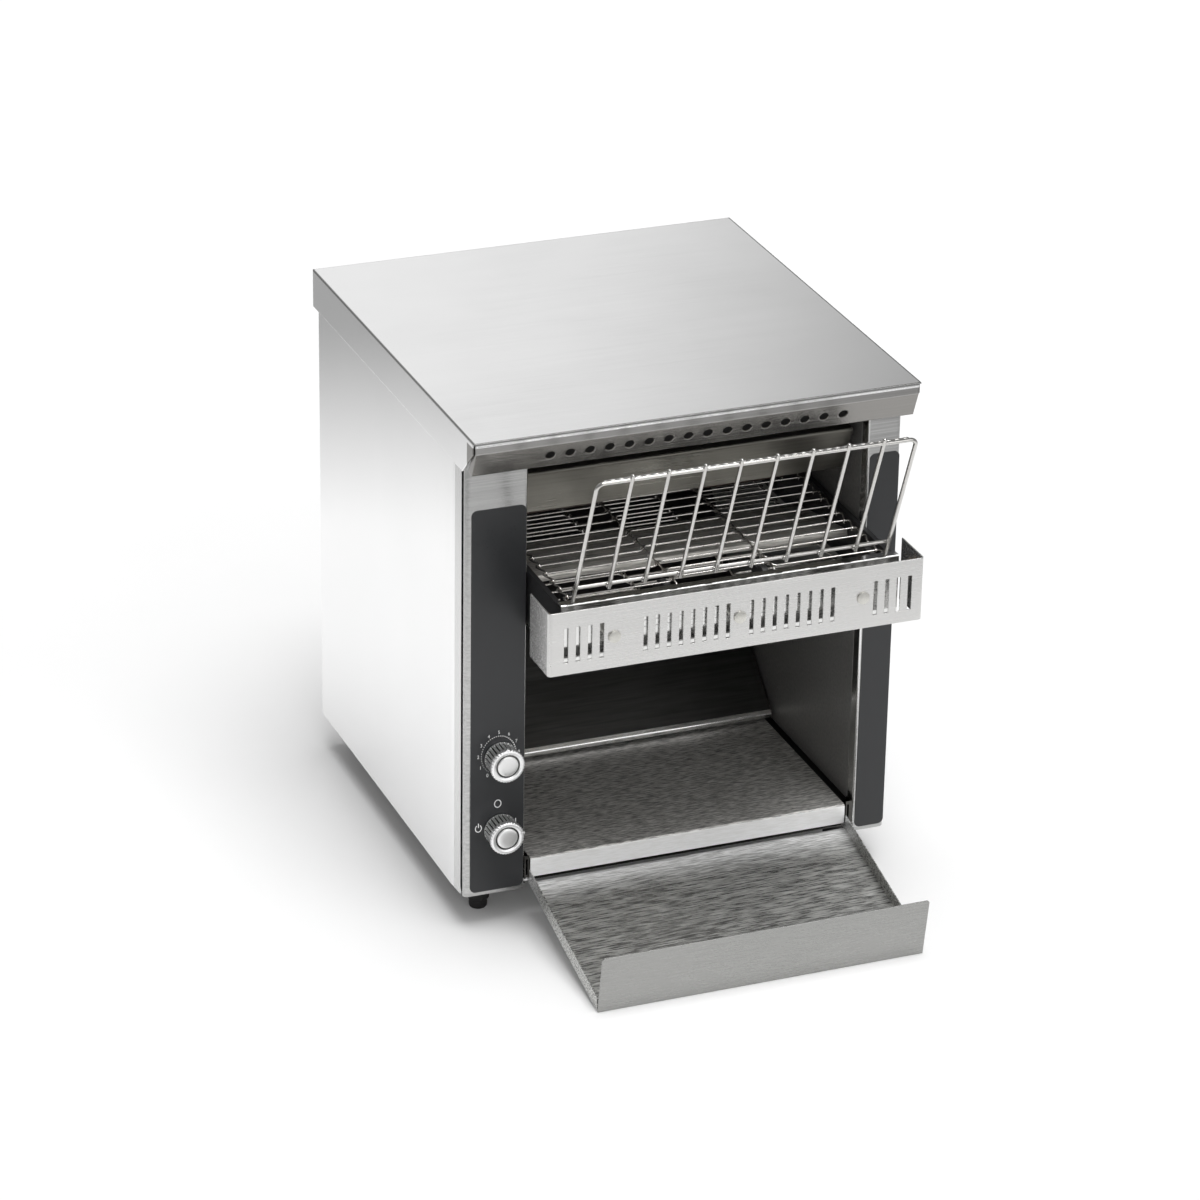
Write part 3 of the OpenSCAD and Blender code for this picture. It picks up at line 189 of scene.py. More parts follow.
def steel(name, colour, rough, grain=X, fine=700, streak=0.10, cloud=0.05, relief=0.10,
          aniso=0.5, dash=9, bare=1.0, second=None, third=None, edge=0.0, crisp=0.2, glance=1.0):
    """Brushed sheet: streaks along axis grain, slow clouds of handling marks, faint scratches.
    dash and fine are the streaks' scale along and across the grain, crisp is how softly they fade, bare the
    metallic share and glance the brightness at a grazing view. second and third are (mask maker, colour,
    roughness, share of the streaks) for parts of another tone, which in this script mostly paint light or
    shade."""
    g = Graph(name)
    lines = g.noise(stretched(grain, dash, fine), 4, 0.6)
    clouds = g.noise(CLOUD_SCALE, 3, 0.5)
    scratch = g.noise(stretched(grain, SCRATCH_ALONG, SCRATCH_ACROSS), 2, 0.5)
    fleck = g.span(lines, 0.5 - crisp, 0.5 + crisp, 0, 1)
    height = lines
    tone = g.mix(fleck, shade(colour, 1 - streak), shade(colour, 1 + streak))
    rough_in = rough
    for make_mask, other, other_rough, share in filter(None, (second, third)):
        mask, faint = make_mask(g), streak * share
        tone = g.mix(mask, tone, g.mix(fleck, shade(other, 1 - faint), shade(other, 1 + faint)))
        rough_in = g.math("ADD", rough_in, g.span(mask, 0, 1, 0, other_rough - rough))
        height = g.math("MULTIPLY", height, g.span(mask, 0, 1, 1, share))
    tone = g.mix(g.span(clouds, 0.35, 0.7, 0, 0.5), tone, g.mix(1 - 2 * cloud, (0, 0, 0), tone))
    uneven = g.math("ADD", g.swing(lines, -0.05, 0.06), g.swing(clouds, -cloud, cloud))
    r = g.math("SUBTRACT", g.math("ADD", rough_in, uneven), g.span(scratch, 0.66, 0.74, 0, 0.05))
    tangent = g.new("CombineXYZ")
    tangent.inputs[grain].default_value = 1
    g.put(g.bsdf, Base_Color=tone, Metallic=bare, Roughness=r, Anisotropic=aniso, Tangent=tangent.outputs[0],
          Anisotropic_Rotation=ACROSS_THE_GRAIN, Specular_Tint=(*shade((1, 1, 1), glance), 1))
    g.bump(height, relief, 0.00012, edge)
    return g.material


def metal(name, colour, rough, scale=300, spread=0.12, relief=0.05, dirt=0.0,
          dirt_colour=(0.02, 0.018, 0.015)):
    """Drawn wire, turned bar and plated pieces: fine grain with slow dulling."""
    g = Graph(name)
    grain = g.noise(scale, 3, 0.6)
    slow = g.noise(22, 4, 0.55)
    tone = g.mix(g.swing(grain, 0, 1), shade(colour, 1 - spread), shade(colour, 1 + spread))
    if dirt:
        tone = g.mix(g.span(slow, 0.42, 0.62, 0, dirt), tone, dirt_colour)
    r = g.math("ADD", g.swing(slow, rough - 0.07, rough + 0.1), g.swing(grain, -0.03, 0.03))
    g.put(g.bsdf, Base_Color=tone, Metallic=1.0, Roughness=r)
    g.bump(grain, relief, 0.0001)
    return g.material


def plastic(name, colour, rough, scale=900, relief=0.12, dust=0.04, specular=0.5, metallic=0.0):
    """Moulded plastic, rubber and lacquer: pebbled skin, dulled patches and a little dust."""
    g = Graph(name)
    skin = g.noise(scale, 2, 0.5)
    slow = g.noise(14, 4, 0.6)
    dusty = tuple(min(1.0, c + dust) for c in colour)
    tone = g.mix(g.span(slow, 0.4, 0.75, 0, 0.6), colour, dusty)
    r = g.math("ADD", g.swing(slow, rough - 0.06, rough + 0.08), g.swing(skin, -0.03, 0.03))
    g.put(g.bsdf, Base_Color=tone, Roughness=r, Specular_IOR_Level=specular, Metallic=metallic)
    g.bump(skin, relief, 0.00006)
    return g.material


def hood_lip(g):
    """The hood's front lip below its fold, in the shade of the top; its darker colour is painted shade."""
    return g.math("MULTIPLY", g.within(Y, -0.1233, -0.1090), g.below(Z, 0.4262, 0.4266))


def hood_bends(g):
    """The outside of the hood's top bends; its darker colour is a painted reflection of the dark of the
    studio.
    """
    sides = g.math("SUBTRACT", 1.0, g.within(X, -0.1827, 0.1827))
    front = g.below(Y, -0.1234, -0.1230)
    return g.math("MULTIPLY", g.where(Z, 0.4286, 0.4294), g.math("MAXIMUM", sides, front))


def deflector_web(g):
    """The upper deflector above its bend, in the dark under the roof; its near-black colour is painted shade.
    """
    return g.where(Z, 0.3826, 0.3832)


def rolled_edges(g):
    """The inner edges of the two front columns, made pale as a painted highlight of their bends."""
    return g.math("ADD", g.within(X, -0.1319, -0.1200), g.within(X, 0.1200, 0.1538))


def front_margin(g):
    """The side panels' front strip, a little rougher than the rest, with its greyer colour as painted shade.
    """
    return g.below(Y, -0.0790, -0.0780)


def tray_lip(g):
    """The crumb tray's turned down front, made pale as painted light."""
    return g.below(Z, 0.0560, 0.0568)


def slide_edge(g):
    """The toast slide's lower edge, made pale as a painted highlight of its bend."""
    return g.below(Z, 0.0668, 0.0672)


def tray_rear(g):
    """The discharge tray's rear, made pale as a painted reflection of the bright lip above it."""
    return g.where(Y, -0.1300, -0.1040)


def tray_flap(g):
    """The discharge tray's front flap below the bend."""
    return g.below(Y, -0.2498, -0.2494)


MATS = {
    "hood_steel": steel("hood_sheet", (0.94, 0.94, 0.94), 0.16, grain=X, fine=900, streak=0.02, cloud=0.02,
        # the hood's darker front lip is painted shade
        relief=0.02, aniso=0.0, second=(hood_lip, (0.28, 0.272, 0.26), 0.20, 3),
        # the hood's darker top bends are a painted reflection
        third=(hood_bends, (0.30, 0.30, 0.295), 0.20, 1), edge=0.0014),
    "panel_steel": steel("panel_sheet", (0.96, 0.96, 0.96), 0.20, grain=Z, fine=900, streak=0.02, cloud=0.015,
        # the greyer front strip of the side panels is painted shade
        relief=0.03, aniso=0.2, second=(front_margin, (0.72, 0.72, 0.715), 0.26, 3)),
    "column_steel": steel("column_sheet", (0.50, 0.50, 0.495), 0.20, grain=X, fine=650, streak=0.20,
        # the pale inner edges of the columns are a painted highlight
        cloud=0.03, relief=0.10, aniso=0.5, second=(rolled_edges, (0.92, 0.92, 0.91), 0.18, 0.3),
        edge=0.0012),
    "guard_steel": steel("guard_sheet", (0.70, 0.695, 0.685), 0.24, grain=X, fine=750, streak=0.06,
        cloud=0.03, relief=0.06, aniso=0.5, dash=9, bare=0.8, edge=0.0009),
    "channel_steel": steel("channel_sheet", (0.80, 0.80, 0.79), 0.09, grain=X, fine=500, streak=0.05,
        cloud=0.03, relief=0.02, aniso=0.2),
    # the inner walls' near-black colour and dimmed grazing sheen are painted shade of the chamber
    "inner_steel": steel("inner_sheet_painted_shade", (0.10, 0.098, 0.092), 0.34, grain=Y, fine=500, streak=0.15,
        cloud=0.08, relief=0.10, aniso=0.4, glance=0.2),
    "chamber_steel": steel("chamber_sheet", (0.36, 0.355, 0.345), 0.40, grain=X, fine=420, streak=0.20,
        cloud=0.06, relief=0.15, aniso=0.4, dash=20, bare=0.6),
    "deflector_steel": steel("deflector_sheet", (0.13, 0.125, 0.11), 0.32, grain=X, fine=480, streak=0.12,
        cloud=0.06, relief=0.10, aniso=0.4, dash=12, bare=0.9,
        # the near-black web above the deflector's bend is painted shade
        second=(deflector_web, (0.02, 0.02, 0.019), 0.5, 1)),
    "tray_steel": steel("tray_sheet", (0.45, 0.45, 0.435), 0.28, grain=X, fine=1000, streak=0.6, cloud=0.03,
        relief=0.5, aniso=0.5, dash=65, bare=0.75, second=(tray_flap, (0.36, 0.36, 0.35), 0.26, 0.06),
        # the discharge tray's pale rear is a painted reflection
        third=(tray_rear, (0.95, 0.95, 0.94), 0.34, 0.8), edge=0.0007, crisp=0.11),
    "fastener_steel": metal("fastener_plating", (0.66, 0.65, 0.61), 0.28, scale=500, spread=0.08),
    "shaft_steel": metal("shaft_bar", (0.5, 0.5, 0.49), 0.25, scale=400, spread=0.1),
    "chain_steel": metal("chain_plate", (0.3, 0.29, 0.28), 0.32, scale=500, spread=0.15, relief=0.08,
        dirt=0.5),
    "element_sheath": metal("element_sheath_metal", (0.16, 0.14, 0.13), 0.5, scale=260, spread=0.2,
        relief=0.1, dirt=0.5, dirt_colour=(0.1, 0.06, 0.04)),
    "overlay_black": plastic("overlay_film", (0.022, 0.023, 0.025), 0.36, scale=1500, relief=0.05, dust=0.006,
        specular=0.5),
    "foot_rubber": plastic("foot_rubber_skin", (0.012, 0.012, 0.012), 0.62, scale=700, relief=0.25,
        dust=0.012, specular=0.4),
    "rail_black": plastic("rail_lacquer", (0.018, 0.018, 0.019), 0.34, scale=900, relief=0.1, dust=0.01,
        specular=0.5),
    "sprocket_black": plastic("sprocket_mould", (0.02, 0.02, 0.02), 0.42, scale=900, relief=0.15, dust=0.02,
        specular=0.5),
    "rack_chrome": metal("rack_wire_chrome", (0.62, 0.61, 0.59), 0.15, scale=240, spread=0.05, relief=0.03),
    "belt_wire": metal("belt_wire_steel", (0.82, 0.80, 0.77), 0.20, scale=300, spread=0.1, relief=0.04,
        dirt=0.22, dirt_colour=(0.2, 0.16, 0.12)),
    "bush_bronze": metal("bush_bronze_turned", (0.48, 0.33, 0.17), 0.35, scale=400, spread=0.12, relief=0.06,
        dirt=0.3),
    "bush_ceramic": plastic("bush_ceramic_glaze", (0.74, 0.71, 0.65), 0.45, scale=600, relief=0.08, dust=0.02,
        specular=0.5),
    "knob_metal": metal("knob_cap_metal", (0.985, 0.985, 0.985), 0.38, scale=800, spread=0.01, relief=0.03),
    "motor_casting": plastic("motor_casting_paint", (0.24, 0.245, 0.25), 0.5, scale=500, relief=0.3,
        dust=0.05, specular=0.5, metallic=0.4),
    "black_plastic": plastic("black_moulding", (0.02, 0.02, 0.021), 0.45, scale=800, relief=0.2, dust=0.02,
        specular=0.5),
    "mineral_wool": plastic("mineral_wool_fibre", (0.55, 0.49, 0.33), 0.95, scale=500, relief=1.0, dust=0.1,
        specular=0.1),
}
SLOT = {p["node"]: p["material_slot"] for p in frame["record"]["subparts"]}
LOOKS = {
    # the slide's near-black colour is painted shade of the chamber
    "toast_slide": steel("slide_sheet_painted_shade_and_highlight", (0.09, 0.09, 0.088), 0.36, grain=X, fine=420, streak=0.2, cloud=0.06,
        # the slide's pale lower edge is a painted highlight
        relief=0.12, aniso=0.4, dash=20, second=(slide_edge, (0.97, 0.97, 0.96), 0.26, 0.3)),
    "crumb_tray": steel("crumb_tray_sheet", (0.50, 0.49, 0.47), 0.34, grain=X, fine=900, streak=0.5,
        cloud=0.05, relief=0.3, aniso=0.8, dash=110, bare=0.5,
        # the crumb tray's pale front lip is painted light
        second=(tray_lip, (0.98, 0.98, 0.97), 0.46, 0.1), edge=0.0008, crisp=0.10),
    "lower_deflector": steel("shield_sheet", (0.66, 0.64, 0.60), 0.36, grain=X, fine=600, streak=0.35,
        cloud=0.06, relief=0.2, aniso=0.5, dash=40, bare=0.55, crisp=0.12),
    "upper_reflector": steel("reflector_sheet", (0.2, 0.195, 0.185), 0.4, grain=X, fine=420, streak=0.2,
        cloud=0.08, relief=0.12, aniso=0.4, dash=20),
}
for node_name, slot_name in SLOT.items():
    for slot_ in NODES[node_name].material_slots:
        slot_.material = LOOKS.get(node_name, MATS[slot_name])


# ---------------------------------------------------------------- mesh helpers
def mesh_object(name, bm, materials, smooth=35):
    data = bpy.data.meshes.new(name)
    bmesh.ops.recalc_face_normals(bm, faces=bm.faces)
    for face in bm.faces:
        face.smooth = True
    for edge in bm.edges:
        if len(edge.link_faces) == 2 and edge.calc_face_angle(0) > math.radians(smooth):
            edge.smooth = False
    bm.to_mesh(data)
    bm.free()
    for m in materials:
        data.materials.append(m)
    obj = bpy.data.objects.new(name, data)
    bpy.context.scene.collection.objects.link(obj)
    return obj


def add_piece(obj, body, slot_name, *stands_for):
    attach(obj, body)
    if stands_for:
        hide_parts(*stands_for)
    return obj


def tube(bm, points, radius, sides, closed=False):
    """A round wire along points, in metres; radius is one number or one for each point."""
    pts = [Vector(p) for p in points]
    n = len(pts)
    tangents = []
    for i in range(n):
        a = pts[(i - 1) % n] if closed or i > 0 else pts[i]
        b = pts[(i + 1) % n] if closed or i < n - 1 else pts[i]
        tangents.append((b - a).normalized())
    side = tangents[0].orthogonal().normalized()
    turns = [(math.cos(TAU * k / sides), math.sin(TAU * k / sides)) for k in range(sides)]
    rings = []
    for i in range(n):
        side = (side - tangents[i] * side.dot(tangents[i])).normalized()
        other = tangents[i].cross(side)
        r = radius[i] if isinstance(radius, (list, tuple)) else radius
        rings.append([bm.verts.new(pts[i] + (side * c + other * s) * r) for c, s in turns])
    for i in range(n if closed else n - 1):
        a, b = rings[i], rings[(i + 1) % n]
        for k in range(sides):
            bm.faces.new((a[k], a[(k + 1) % sides], b[(k + 1) % sides], b[k]))
    if not closed:
        bm.faces.new(rings[0][::-1])
        bm.faces.new(rings[-1])


def domed(points, radius, steps=3, bulge=1.0):
    """Points and radii for a tube with a domed tip at its last point."""
    pts = [Vector(p) for p in points]
    direction = (pts[-1] - pts[-2]).normalized()
    radii = [radius] * len(pts)
    tip = pts[-1]
    for k in range(1, steps + 1):
        a = k / steps * math.radians(82)
        pts.append(tip + direction * radius * bulge * math.sin(a))
        radii.append(radius * bulge * math.cos(a))
    return pts, radii


def arc_points(centre, u, v, radius, a0, a1, steps):
    """Points on an arc in the plane of unit vectors u and v."""
    c, u, v = Vector(centre), Vector(u), Vector(v)
    angles = [a0 + (a1 - a0) * k / steps for k in range(steps + 1)]
    return [c + (u * math.cos(a) + v * math.sin(a)) * radius for a in angles]


def lathe(bm, centre, axis, profile, sides, wave=None, look=None):
    """A body of revolution, in mm. profile is (radius, distance along axis); wave(i, angle) scales ring i's
    radius and look(i, k) is the material of face k behind ring i."""
    c, ax = Vector([v * MM for v in centre]), Vector(axis).normalized()
    u = ax.orthogonal().normalized()
    v = ax.cross(u)
    rings = []
    for i, (r, d) in enumerate(profile):
        on_axis = c + ax * (d * MM)
        if r == 0:
            rings.append([bm.verts.new(on_axis)])
            continue
        ring = []
        for k in range(sides):
            a = TAU * k / sides
            rr = r * MM * (wave(i, a) if wave else 1)
            ring.append(bm.verts.new(on_axis + (u * math.cos(a) + v * math.sin(a)) * rr))
        rings.append(ring)
    for i in range(len(rings) - 1):
        a, b = rings[i], rings[i + 1]
        for k in range(sides):
            if len(a) == 1:
                f = bm.faces.new((a[0], b[k], b[(k + 1) % sides]))
            elif len(b) == 1:
                f = bm.faces.new((a[k], b[0], a[(k + 1) % sides]))
            else:
                f = bm.faces.new((a[k], b[k], b[(k + 1) % sides], a[(k + 1) % sides]))
            if look:
                f.material_index = look(i, k)


def prism(bm, outline, axis, low, high, bevel):
    """A flat outline drawn along an axis, with bevelled rims, in mm."""
    others = [i for i in range(3) if i != axis]

    def at(p, d):
        co = [0, 0, 0]
        co[others[0]], co[others[1]], co[axis] = p[0] * MM, p[1] * MM, d * MM
        return bm.verts.new(co)

    bottom = [at(p, low) for p in outline]
    top = [at(p, high) for p in outline]
    n = len(outline)
    ends = [bm.faces.new(bottom[::-1]), bm.faces.new(top)]
    for i in range(n):
        bm.faces.new((bottom[i], bottom[(i + 1) % n], top[(i + 1) % n], top[i]))
    rims = [e for f in ends for e in f.edges]
    bmesh.ops.bevel(bm, geom=rims, offset=bevel * MM, segments=2, affect="EDGES", profile=0.6)


def soften(node_name, width):
    """Rounded sheet edges on a CAD node, width in mm, by modifiers alone."""
    obj = NODES[node_name]
    weld = obj.modifiers.new("weld", "WELD")
    weld.merge_threshold = 1e-6
    bevel = obj.modifiers.new("edge", "BEVEL")
    bevel.width = width * MM
    bevel.segments = 2
    bevel.limit_method = "ANGLE"
    bevel.angle_limit = math.radians(40)
    bevel.harden_normals = True
    bevel.use_clamp_overlap = True


for name, width in {
    "hood": 0.6, "left_side_panel": 0.25, "right_side_panel": 0.25, "back_panel": 0.2, "base_pan": 0.25,
    "control_column": 0.3, "plain_column": 0.3, "control_overlay": 0.12, "plain_overlay": 0.12,
    "guard": 0.3, "front_channel": 0.3, "upper_deflector": 0.3, "lower_deflector": 0.3,
    "crumb_tray": 0.3, "discharge_tray": 0.3, "left_conveyor_rail": 0.4, "right_conveyor_rail": 0.4,
    "toast_slide": 0.25, "left_inner_wall": 0.25, "right_inner_wall": 0.25, "tray_brackets": 0.25,
    "power_inlet": 0.5, "gear_motor": 1.2, "cooling_fan_frame": 0.6,
}.items():
    soften(name, width)


# ---------------------------------------------------------------- wire belt
# All sizes in mm. A cross wire lies at every pitch: RUNS pitches on a straight run, TURNS round a wheel.
DRIVE_Y, IDLER_Y, SHAFT_Z, BELT_R, PITCH = 170.998, -144.002, 283.3, 19.598, 15.0
RUNS, TURNS, TURN_ANGLE = 21, 4, 45
WIRES = 2 * (RUNS + TURNS)
BELT_LEFT, BELT_RIGHT = -120.05, 145.95
CROSS_WIRE_R, LINK_WIRE_R = 0.78, 0.7
JOINTS = (-27.78, 53.68)
JOINT_HALF, JOINT_END, JOINT_RISE = 3.6, 6, 0.9
# the joint's start and end in pitches: the middle third of each wire lies half a pitch off
JOINT_SHIFTS = ((0.0, 0.5), (0.5, 0.0))
# the hooked end of a cross wire: (inwards from the belt's edge, pitches, height)
HOOK = ((3.6, 0.0, 0.0), (2.0, -0.03, 0.35), (0.6, -0.12, 1.0), (0.0, -0.26, 1.35), (-0.6, -0.45, 1.3),
        (-2.0, -0.72, 1.45), (-3.0, -0.90, 1.7), (-3.4, -1.02, 1.55), (-3.7, -1.10, 0.9),
        (-3.8, -1.14, 0.0), (-3.8, -1.10, -1.1))
# the link from one wire's joint to the next wire: (along the wire, pitches, height)
LINK = ((-1.0, 0.36, -1.2), (-0.8, 0.42, 0.2), (-0.6, 0.33, 1.9), (0, 0.1, 1.7), (0.2, -0.25, 0.4),
        (0.4, -0.55, -0.6), (0.8, -0.78, -1.3), (1.0, -0.88, -0.3), (1.1, -0.82, 0.9))


def belt_at(u, h):
    """(y, z) in mm at u pitches along the belt's path, h outside its pitch line."""
    u %= WIRES
    if u <= RUNS:
        return IDLER_Y + u * PITCH, SHAFT_Z + BELT_R + h
    if u <= RUNS + TURNS:
        a = math.radians(90 - (u - RUNS) * TURN_ANGLE)
        return DRIVE_Y + (BELT_R + h) * math.cos(a), SHAFT_Z + (BELT_R + h) * math.sin(a)
    if u <= 2 * RUNS + TURNS:
        return DRIVE_Y - (u - RUNS - TURNS) * PITCH, SHAFT_Z - BELT_R - h
    a = math.radians(270 - (u - 2 * RUNS - TURNS) * TURN_ANGLE)
    return IDLER_Y + (BELT_R + h) * math.cos(a), SHAFT_Z + (BELT_R + h) * math.sin(a)


def belt_point(x, u, h):
    y, z = belt_at(u, h)
    return Vector((x, y, z)) * MM


def cross_wire(k):
    """Cross wire k as (x, pitches, height): a hook, two joints and the other hook."""
    path = [(BELT_LEFT + 1 + abs(dx), k + du, h) for dx, du, h in reversed(HOOK)]
    for joint, (before, after) in zip(JOINTS, JOINT_SHIFTS):
        path += [(joint - JOINT_END, k + before, 0), (joint - JOINT_HALF, k + before, 0.1)]
        for t in (0.15, 0.35, 0.5, 0.65, 0.85):
            eased = t * t * (3 - 2 * t)
            path.append((joint - JOINT_HALF + 2 * JOINT_HALF * t, k + before + (after - before) * eased,
                         JOINT_RISE * math.sin(math.pi * t)))
        path += [(joint + JOINT_HALF, k + after, 0.1), (joint + JOINT_END, k + after, 0)]
    return path + [(BELT_RIGHT - 1 - abs(dx), k + du, h) for dx, du, h in HOOK]


def make_belt():
    bm = bmesh.new()
    for k in range(WIRES):
        tube(bm, [belt_point(*p) for p in cross_wire(k)], CROSS_WIRE_R * MM, 8)
    for joint in JOINTS:
        for k in range(WIRES):
            tube(bm, [belt_point(joint + dx, k + du, h) for dx, du, h in LINK], LINK_WIRE_R * MM, 6)
    return mesh_object("belt_mesh_wires", bm, [MATS["belt_wire"]], 50)


add_piece(make_belt(), "casing", "belt_wire", "wire_belt")


# ---------------------------------------------------------------- belt sprockets
# (x, shift in pitches) of each wheel; the one between the joints meets the shifted wires
SPROCKETS = ((-111.45, 0.0), (-34.78, 0.0), (46.68, 0.5), (137.35, 0.0))
SEAT_R, WHEEL_HALF = 1.75, 2.4
HUB = ((5.05, -4.4), (8.4, -4.4), (9.0, -3.9), (9.2, -2.3), (9.2, 2.3), (9.0, 3.9), (8.4, 4.4), (5.05, 4.4),
       (5.05, -4.4))


def make_sprockets(name, y, start):
    bm = bmesh.new()
    for x, shift in SPROCKETS:
        outline = []
        for k in range(8):
            a0 = math.radians(start + (k - shift) * TURN_ANGLE)
            for j in range(-4, 5):
                a = j / 4 * math.pi / 2
                out, side = BELT_R - SEAT_R * math.cos(a), SEAT_R * math.sin(a)
                outline.append((y + (out * math.cos(a0) - side * math.sin(a0)),
                                SHAFT_Z + (out * math.sin(a0) + side * math.cos(a0))))
            for t in (0.24, 0.34, 0.5, 0.66, 0.76):
                r = BELT_R + (1.1 if 0.3 < t < 0.7 else 0.5)
                a = a0 + math.radians(TURN_ANGLE * t)
                outline.append((y + r * math.cos(a), SHAFT_Z + r * math.sin(a)))
        prism(bm, outline, X, x - WHEEL_HALF, x + WHEEL_HALF, 0.35)
        lathe(bm, (x, y, SHAFT_Z), (1, 0, 0), HUB, 32)
    return mesh_object(name, bm, [MATS["sprocket_black"]], 40)


add_piece(make_sprockets("idler_toothed_wheels", IDLER_Y, 90), "idler_shaft_body", "sprocket_black",
          "idler_belt_sprockets")
add_piece(make_sprockets("drive_toothed_wheels", DRIVE_Y, 90), "drive_shaft_body", "sprocket_black",
          "drive_belt_sprockets")


# ---------------------------------------------------------------- bread rack
# All sizes in mm. The rack's plane starts at (RACK_X, RACK_Y, RACK_Z) and leans back by LEAN.
RACK_X, RACK_Y, RACK_Z, LEAN = 10.95, -163.9, 307.8, math.radians(21.8)
RACK_HALF, RACK_L, WIRE_R, BEND_R = 129.5, 125.5, 1.65, 6.0
LOW_BAR_UP, UPRIGHTS, UPRIGHT_STEP, BEND_STEPS = 12.8, 8, 29.14, 6
RACK_UP = Vector((0, -math.sin(LEAN), math.cos(LEAN)))
RACK_OUT = Vector((0, math.cos(LEAN), math.sin(LEAN)))


def on_rack(x, back, up):
    """A point x from the rack's middle, back behind its plane and up along it, in metres."""
    return (Vector((RACK_X + x, RACK_Y, RACK_Z)) + RACK_OUT * back + RACK_UP * up) * MM


def rack_bend(x, start, steps):
    """Steps of a quarter turn of the frame wire about x, from angle start."""
    angles = [start - k / BEND_STEPS * math.pi / 2 for k in steps]
    return [on_rack(x + BEND_R * math.cos(a), 0, RACK_L - BEND_R + BEND_R * math.sin(a)) for a in angles]


def make_rack():
    bm = bmesh.new()

    def wire(points, *dome):
        tipped, radii = domed(points, WIRE_R * MM, *dome)
        tube(bm, tipped, radii, 12)

    def nugget(points, radii):
        tube(bm, points, [r * MM for r in radii], 10)

    outer = [on_rack(-RACK_HALF, 0, up) for up in (-7, 40, RACK_L - BEND_R)]
    outer += rack_bend(-RACK_HALF + BEND_R, math.pi, range(1, BEND_STEPS + 1))
    outer.append(on_rack(0, 0, RACK_L))
    outer += rack_bend(RACK_HALF - BEND_R, math.pi / 2, range(BEND_STEPS + 1))
    outer += [on_rack(RACK_HALF, 0, up) for up in (40, -7)]
    tube(bm, outer, WIRE_R * MM, 14)
    behind = WIRE_R * 1.6
    wire([on_rack(x, behind + 0.18 * math.sin(x * 0.9), RACK_L - WIRE_R - 0.15 * math.cos(x * 0.9))
          for x in range(-123, 124, 2)])
    wire([on_rack(x, behind, LOW_BAR_UP) for x in (-RACK_HALF - 0.8, 0, RACK_HALF + 0.8)])
    for i in range(UPRIGHTS):
        x = (i - (UPRIGHTS - 1) / 2) * UPRIGHT_STEP
        wire([on_rack(x, -0.33, up) for up in (10.8, 60, RACK_L + 3.6)], 4, 1.12)
        for up, back in ((RACK_L - 0.4, 0.7), (LOW_BAR_UP, 1.2)):
            nugget([on_rack(x + dx, back, up) for dx in (-2.6, -1.6, 0, 1.6, 2.6)], (1.2, 1.9, 2.1, 1.9, 1.2))
    for side in (-1, 1):
        nugget([on_rack(side * RACK_HALF, 1.2, LOW_BAR_UP + d) for d in (-2.4, -1.4, 0, 1.4, 2.4)],
               (1.1, 1.8, 2.05, 1.8, 1.1))
    return mesh_object("bread_rack_wires", bm, [MATS["rack_chrome"]], 50)


add_piece(make_rack(), "rack_body", "rack_chrome", "bread_rack")


# ---------------------------------------------------------------- knobs
# All sizes in mm. The overlay's film is OVERLAY_T thick; a knob stands KNOB_GAP off it.
FACE_Y, OVERLAY_T, KNOB_GAP, KNOB_L = -98.6, 0.5, 0.6, 18.4
KNOB_X, SPEED_Z, POWER_Z = -151.95, 151.7, 88.6
KNOB_FRONT = FACE_Y - OVERLAY_T - KNOB_GAP - KNOB_L
knob_body_metal = metal("knob_body_metal", (0.96, 0.96, 0.95), 0.40, scale=600, spread=0.03, relief=0.04)
knob_disc_metal = metal("knob_disc_metal", (0.90, 0.90, 0.895), 0.36, scale=900, spread=0.02, relief=0.02)
# painted shade: a near-black metal for the knobs' ring groove and flute valleys and the screws' cross slots
painted_recess_shade = metal("painted_recess_shade_metal", (0.10, 0.10, 0.10), 0.35, scale=600, spread=0.1)
CAP, BODY, DISC, GROOVE_SHADE = range(4)
# a knob's half section from the front: (radius, distance behind the front)
KNOB = ((0, 0.15), (3.0, 0.17), (6.0, 0.28), (7.6, 0.5), (8.2, 0.72), (8.45, 1.1), (8.5, 1.6),
        (9.6, 1.6), (9.75, 1.2), (9.95, 0.75), (10.4, 0.45), (11.4, 0.12), (12.4, 0.1), (13.2, 0.3),
        (13.8, 0.75), (14.15, 1.3), (14.2, 2.2), (14.2, 3.8), (13.9, 4.5), (13.3, 4.95),
        (12.9, 5.1), (12.95, 5.6), (13.1, 11.0), (13.15, 16.6), (13.2, 16.9), (13.2, 18.0), (12.9, 18.4),
        (3.05, 18.4), (3.05, 8.0), (0, 8.0))
KNOB_BANDS = [DISC] * 6 + [GROOVE_SHADE] * 2 + [CAP] * 11 + [BODY] * 11
KNOB_SIDES, CAP_NOTCHES, BODY_FLUTES = 288, 36, 24
CAP_RINGS, CAP_DEPTH = range(13, 19), {13: 0.012, 14: 0.03, 18: 0.03}
BODY_RINGS, BODY_DEPTH = range(21, 24), 0.11
# the pointer's rows: (distance out, half width, rise of the middle)
POINTER = ((10.6, 0.5, 0.0), (11.4, 1.0, 0.05), (13.0, 1.15, 0.05), (14.6, 1.1, 0.5), (15.05, 0.7, 1.6),
           (15.05, 0.7, 3.6))


def knob_wave(i, a):
    """The notches of the cap and the flutes of the body."""
    if i in CAP_RINGS:
        s = 0.5 - 0.5 * math.cos(CAP_NOTCHES * a)
        return 1 - CAP_DEPTH.get(i, 0.045) * s ** 0.7
    if i in BODY_RINGS:
        s = 0.5 - 0.5 * math.cos(BODY_FLUTES * a)
        return 1 - BODY_DEPTH * s ** 1.8
    return 1


def knob_look(i, k):
    """The flutes' valleys take the dark groove material as painted shade."""
    in_valley = 4 <= k % (KNOB_SIDES // BODY_FLUTES) <= 7
    return GROOVE_SHADE if 20 <= i <= 23 and in_valley else KNOB_BANDS[i]


